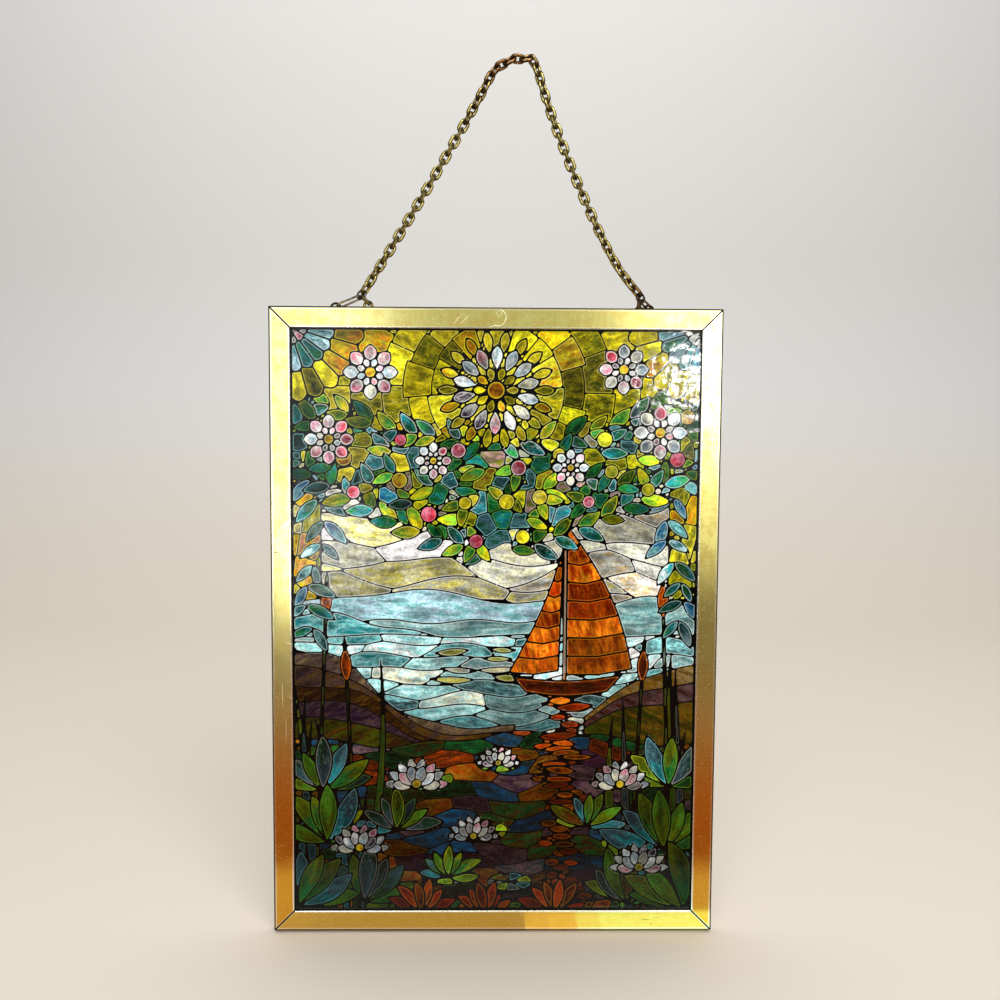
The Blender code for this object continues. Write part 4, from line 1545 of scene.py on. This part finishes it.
def rippledSlab(name, canvas, finish, dense, other, ripple):
    # A slab that carries the picture, point for point, on its dense face
    face, edge = rippledFace(canvas, dense, ripple)
    points, faces, loop = closedSlab(face, dense, other)
    border = (len(picture["border"]),) * 2

    def spreadOut(values):
        # Under the rails and on the sides, a point takes what the picture's nearest one has
        padded = np.pad(values, (border, border, (0, 0)), mode="edge").reshape(-1, values.shape[-1])
        return np.concatenate((padded, padded[np.resize(loop, len(points) - len(padded))]))

    attributes = [("lineEdge", "FLOAT", spreadOut(edge[..., None]))]
    for layer in ("main", "second", "rim"):
        colours = canvas[layer].copy()
        colours[..., :3] = colours[..., :3] ** 2.2
        attributes.append((layer + "Glass", "FLOAT_COLOR", spreadOut(colours)))
    attributes.append(("streak", "FLOAT_VECTOR", spreadOut(canvas["streak"])))
    return addPiece(name, points, faces, finish, attributes, 50)


def pictureGlass(name, roughness, brightness, relief):
    # The pane's colours, streaked and mottled, with paler rims and black lines
    finish, tree, shader = newFinish(name, Roughness=roughness, IOR=1.5, Specular_IOR_Level=0.2)
    place = objectPlace(tree)
    edge = readAttribute(tree, "lineEdge", "Fac")
    main = addNode(tree, "ShaderNodeAttribute", attribute_name="mainGlass").outputs
    rim = addNode(tree, "ShaderNodeAttribute", attribute_name="rimGlass").outputs
    streak = readAttribute(tree, "streak")
    # two glasses run together in streaks
    swirl = noise(tree, streak, 0.36, 5.0, 0.65, 0.9)
    share = spread(tree, plusShare(tree, swirl, 0.26, main["Alpha"]), 0.40, 0.62)
    colour = blendColours(tree, share, main["Color"], readAttribute(tree, "secondGlass", "Color"))
    # milky wisps
    wisp = spread(tree, noise(tree, streak, 0.7, 4.0, 0.7, 1.6), 0.52, 0.76, 0.0, 0.6)
    colour = blendColours(tree, wisp, colour, rim["Color"])
    # darker and lighter blotches, and broad clouds over the whole sheet
    blotch = spread(tree, noise(tree, streak, 0.22, 3.0, 0.6), 0.32, 0.68, 0.46, 1.5)
    mottle = spread(tree, noise(tree, place, 700.0, 4.0, 0.7), 0.3, 0.7, 0.7, 1.28)
    speck = spread(tree, noise(tree, place, 2400.0, 2.0, 0.6), 0.3, 0.7, 0.8, 1.2)
    cloud = spread(tree, noise(tree, place, 24.0, 3.0, 0.6), 0.3, 0.7, 0.74, 1.2)
    uneven = times(tree, blotch, times(tree, mottle, speck))
    light = times(tree, uneven, times(tree, cloud, brightness))
    grey = addNode(tree, "ShaderNodeCombineColor", dict.fromkeys(("Red", "Green", "Blue"), light))
    colour = blendColours(tree, 1.0, colour, grey.outputs[0], "MULTIPLY")
    # paler beside the lines
    nearness = maths(tree, "DIVIDE", edge, rim["Alpha"])
    colour = blendColours(tree, spread(tree, nearness, 0.3, 1.2, 0.5, 0.0), colour, rim["Color"])
    line = spread(tree, edge, 0.0, 0.13, 1.0, 0.0)
    colour = blendColours(tree, line, colour, picture["black"])
    tree.links.new(colour, shader.inputs["Base Color"])
    hammer = noise(tree, place, 420.0, 3.0, 0.55, 0.6)
    height = plusShare(tree, hammer, 0.25, noise(tree, place, 1900.0, 2.0, 0.5))
    tree.links.new(bump(tree, height, relief, 0.25 * mm), shader.inputs["Normal"])
    return finish


sheets = {
    # (name, roughness, brightness, relief)
    "frontGlass": ("printed_glass", 0.035, 0.83, 0.16),
    "backGlass": ("print_back", 0.45, 0.6, 0.1),
    "frontInset": 0.15 * mm,  # behind the front of the frame's own pane
    "frontRipple": 0.014 * mm,
    "layerFront": 0.06 * mm,  # behind its back
    "layerBack": 0.16 * mm,
    "layerRipple": 0.005 * mm,
    "groundWidth": 0.35 * mm,
    "groundDepth": 0.4 * mm,
}


def makePane():
    # The pane, with the picture on its front, and a thin print layer that closes its back
    width = (rightEdge - leftEdge) / mm - 2 * picture["lip"]
    height = (topEdge - bottomEdge) / mm - 2 * picture["lip"]
    canvas = paintPicture(width, height)
    low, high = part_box("glass_pane")
    glass = pictureGlass(*sheets["frontGlass"])
    front = low.y + sheets["frontInset"]
    pane = rippledSlab("glass_pane_picture", canvas, glass, front, high.y, sheets["frontRipple"])
    standFor(pane, "printed_glass", "glass_pane")
    backing = pictureGlass(*sheets["backGlass"])
    near, far = high.y + sheets["layerFront"], high.y + sheets["layerBack"]
    layer = rippledSlab("print_layer", canvas, backing, far, near, sheets["layerRipple"])
    standFor(layer, "printed_glass", "glass_pane")


def lightAlone(lamp, piece):
    # The lamp lights this one piece, and what is beside it keeps its own tone
    lit = bpy.data.collections.new(lamp + "_lit")
    lit.objects.link(bpy.data.objects[piece])
    bpy.data.objects[lamp].light_linking.receiver_collection = lit


print("painting the picture")
makePane()
lightAlone("glint", "glass_pane_picture")
lightAlone("rail_glint", "right_rail_finish")
print("glass made")
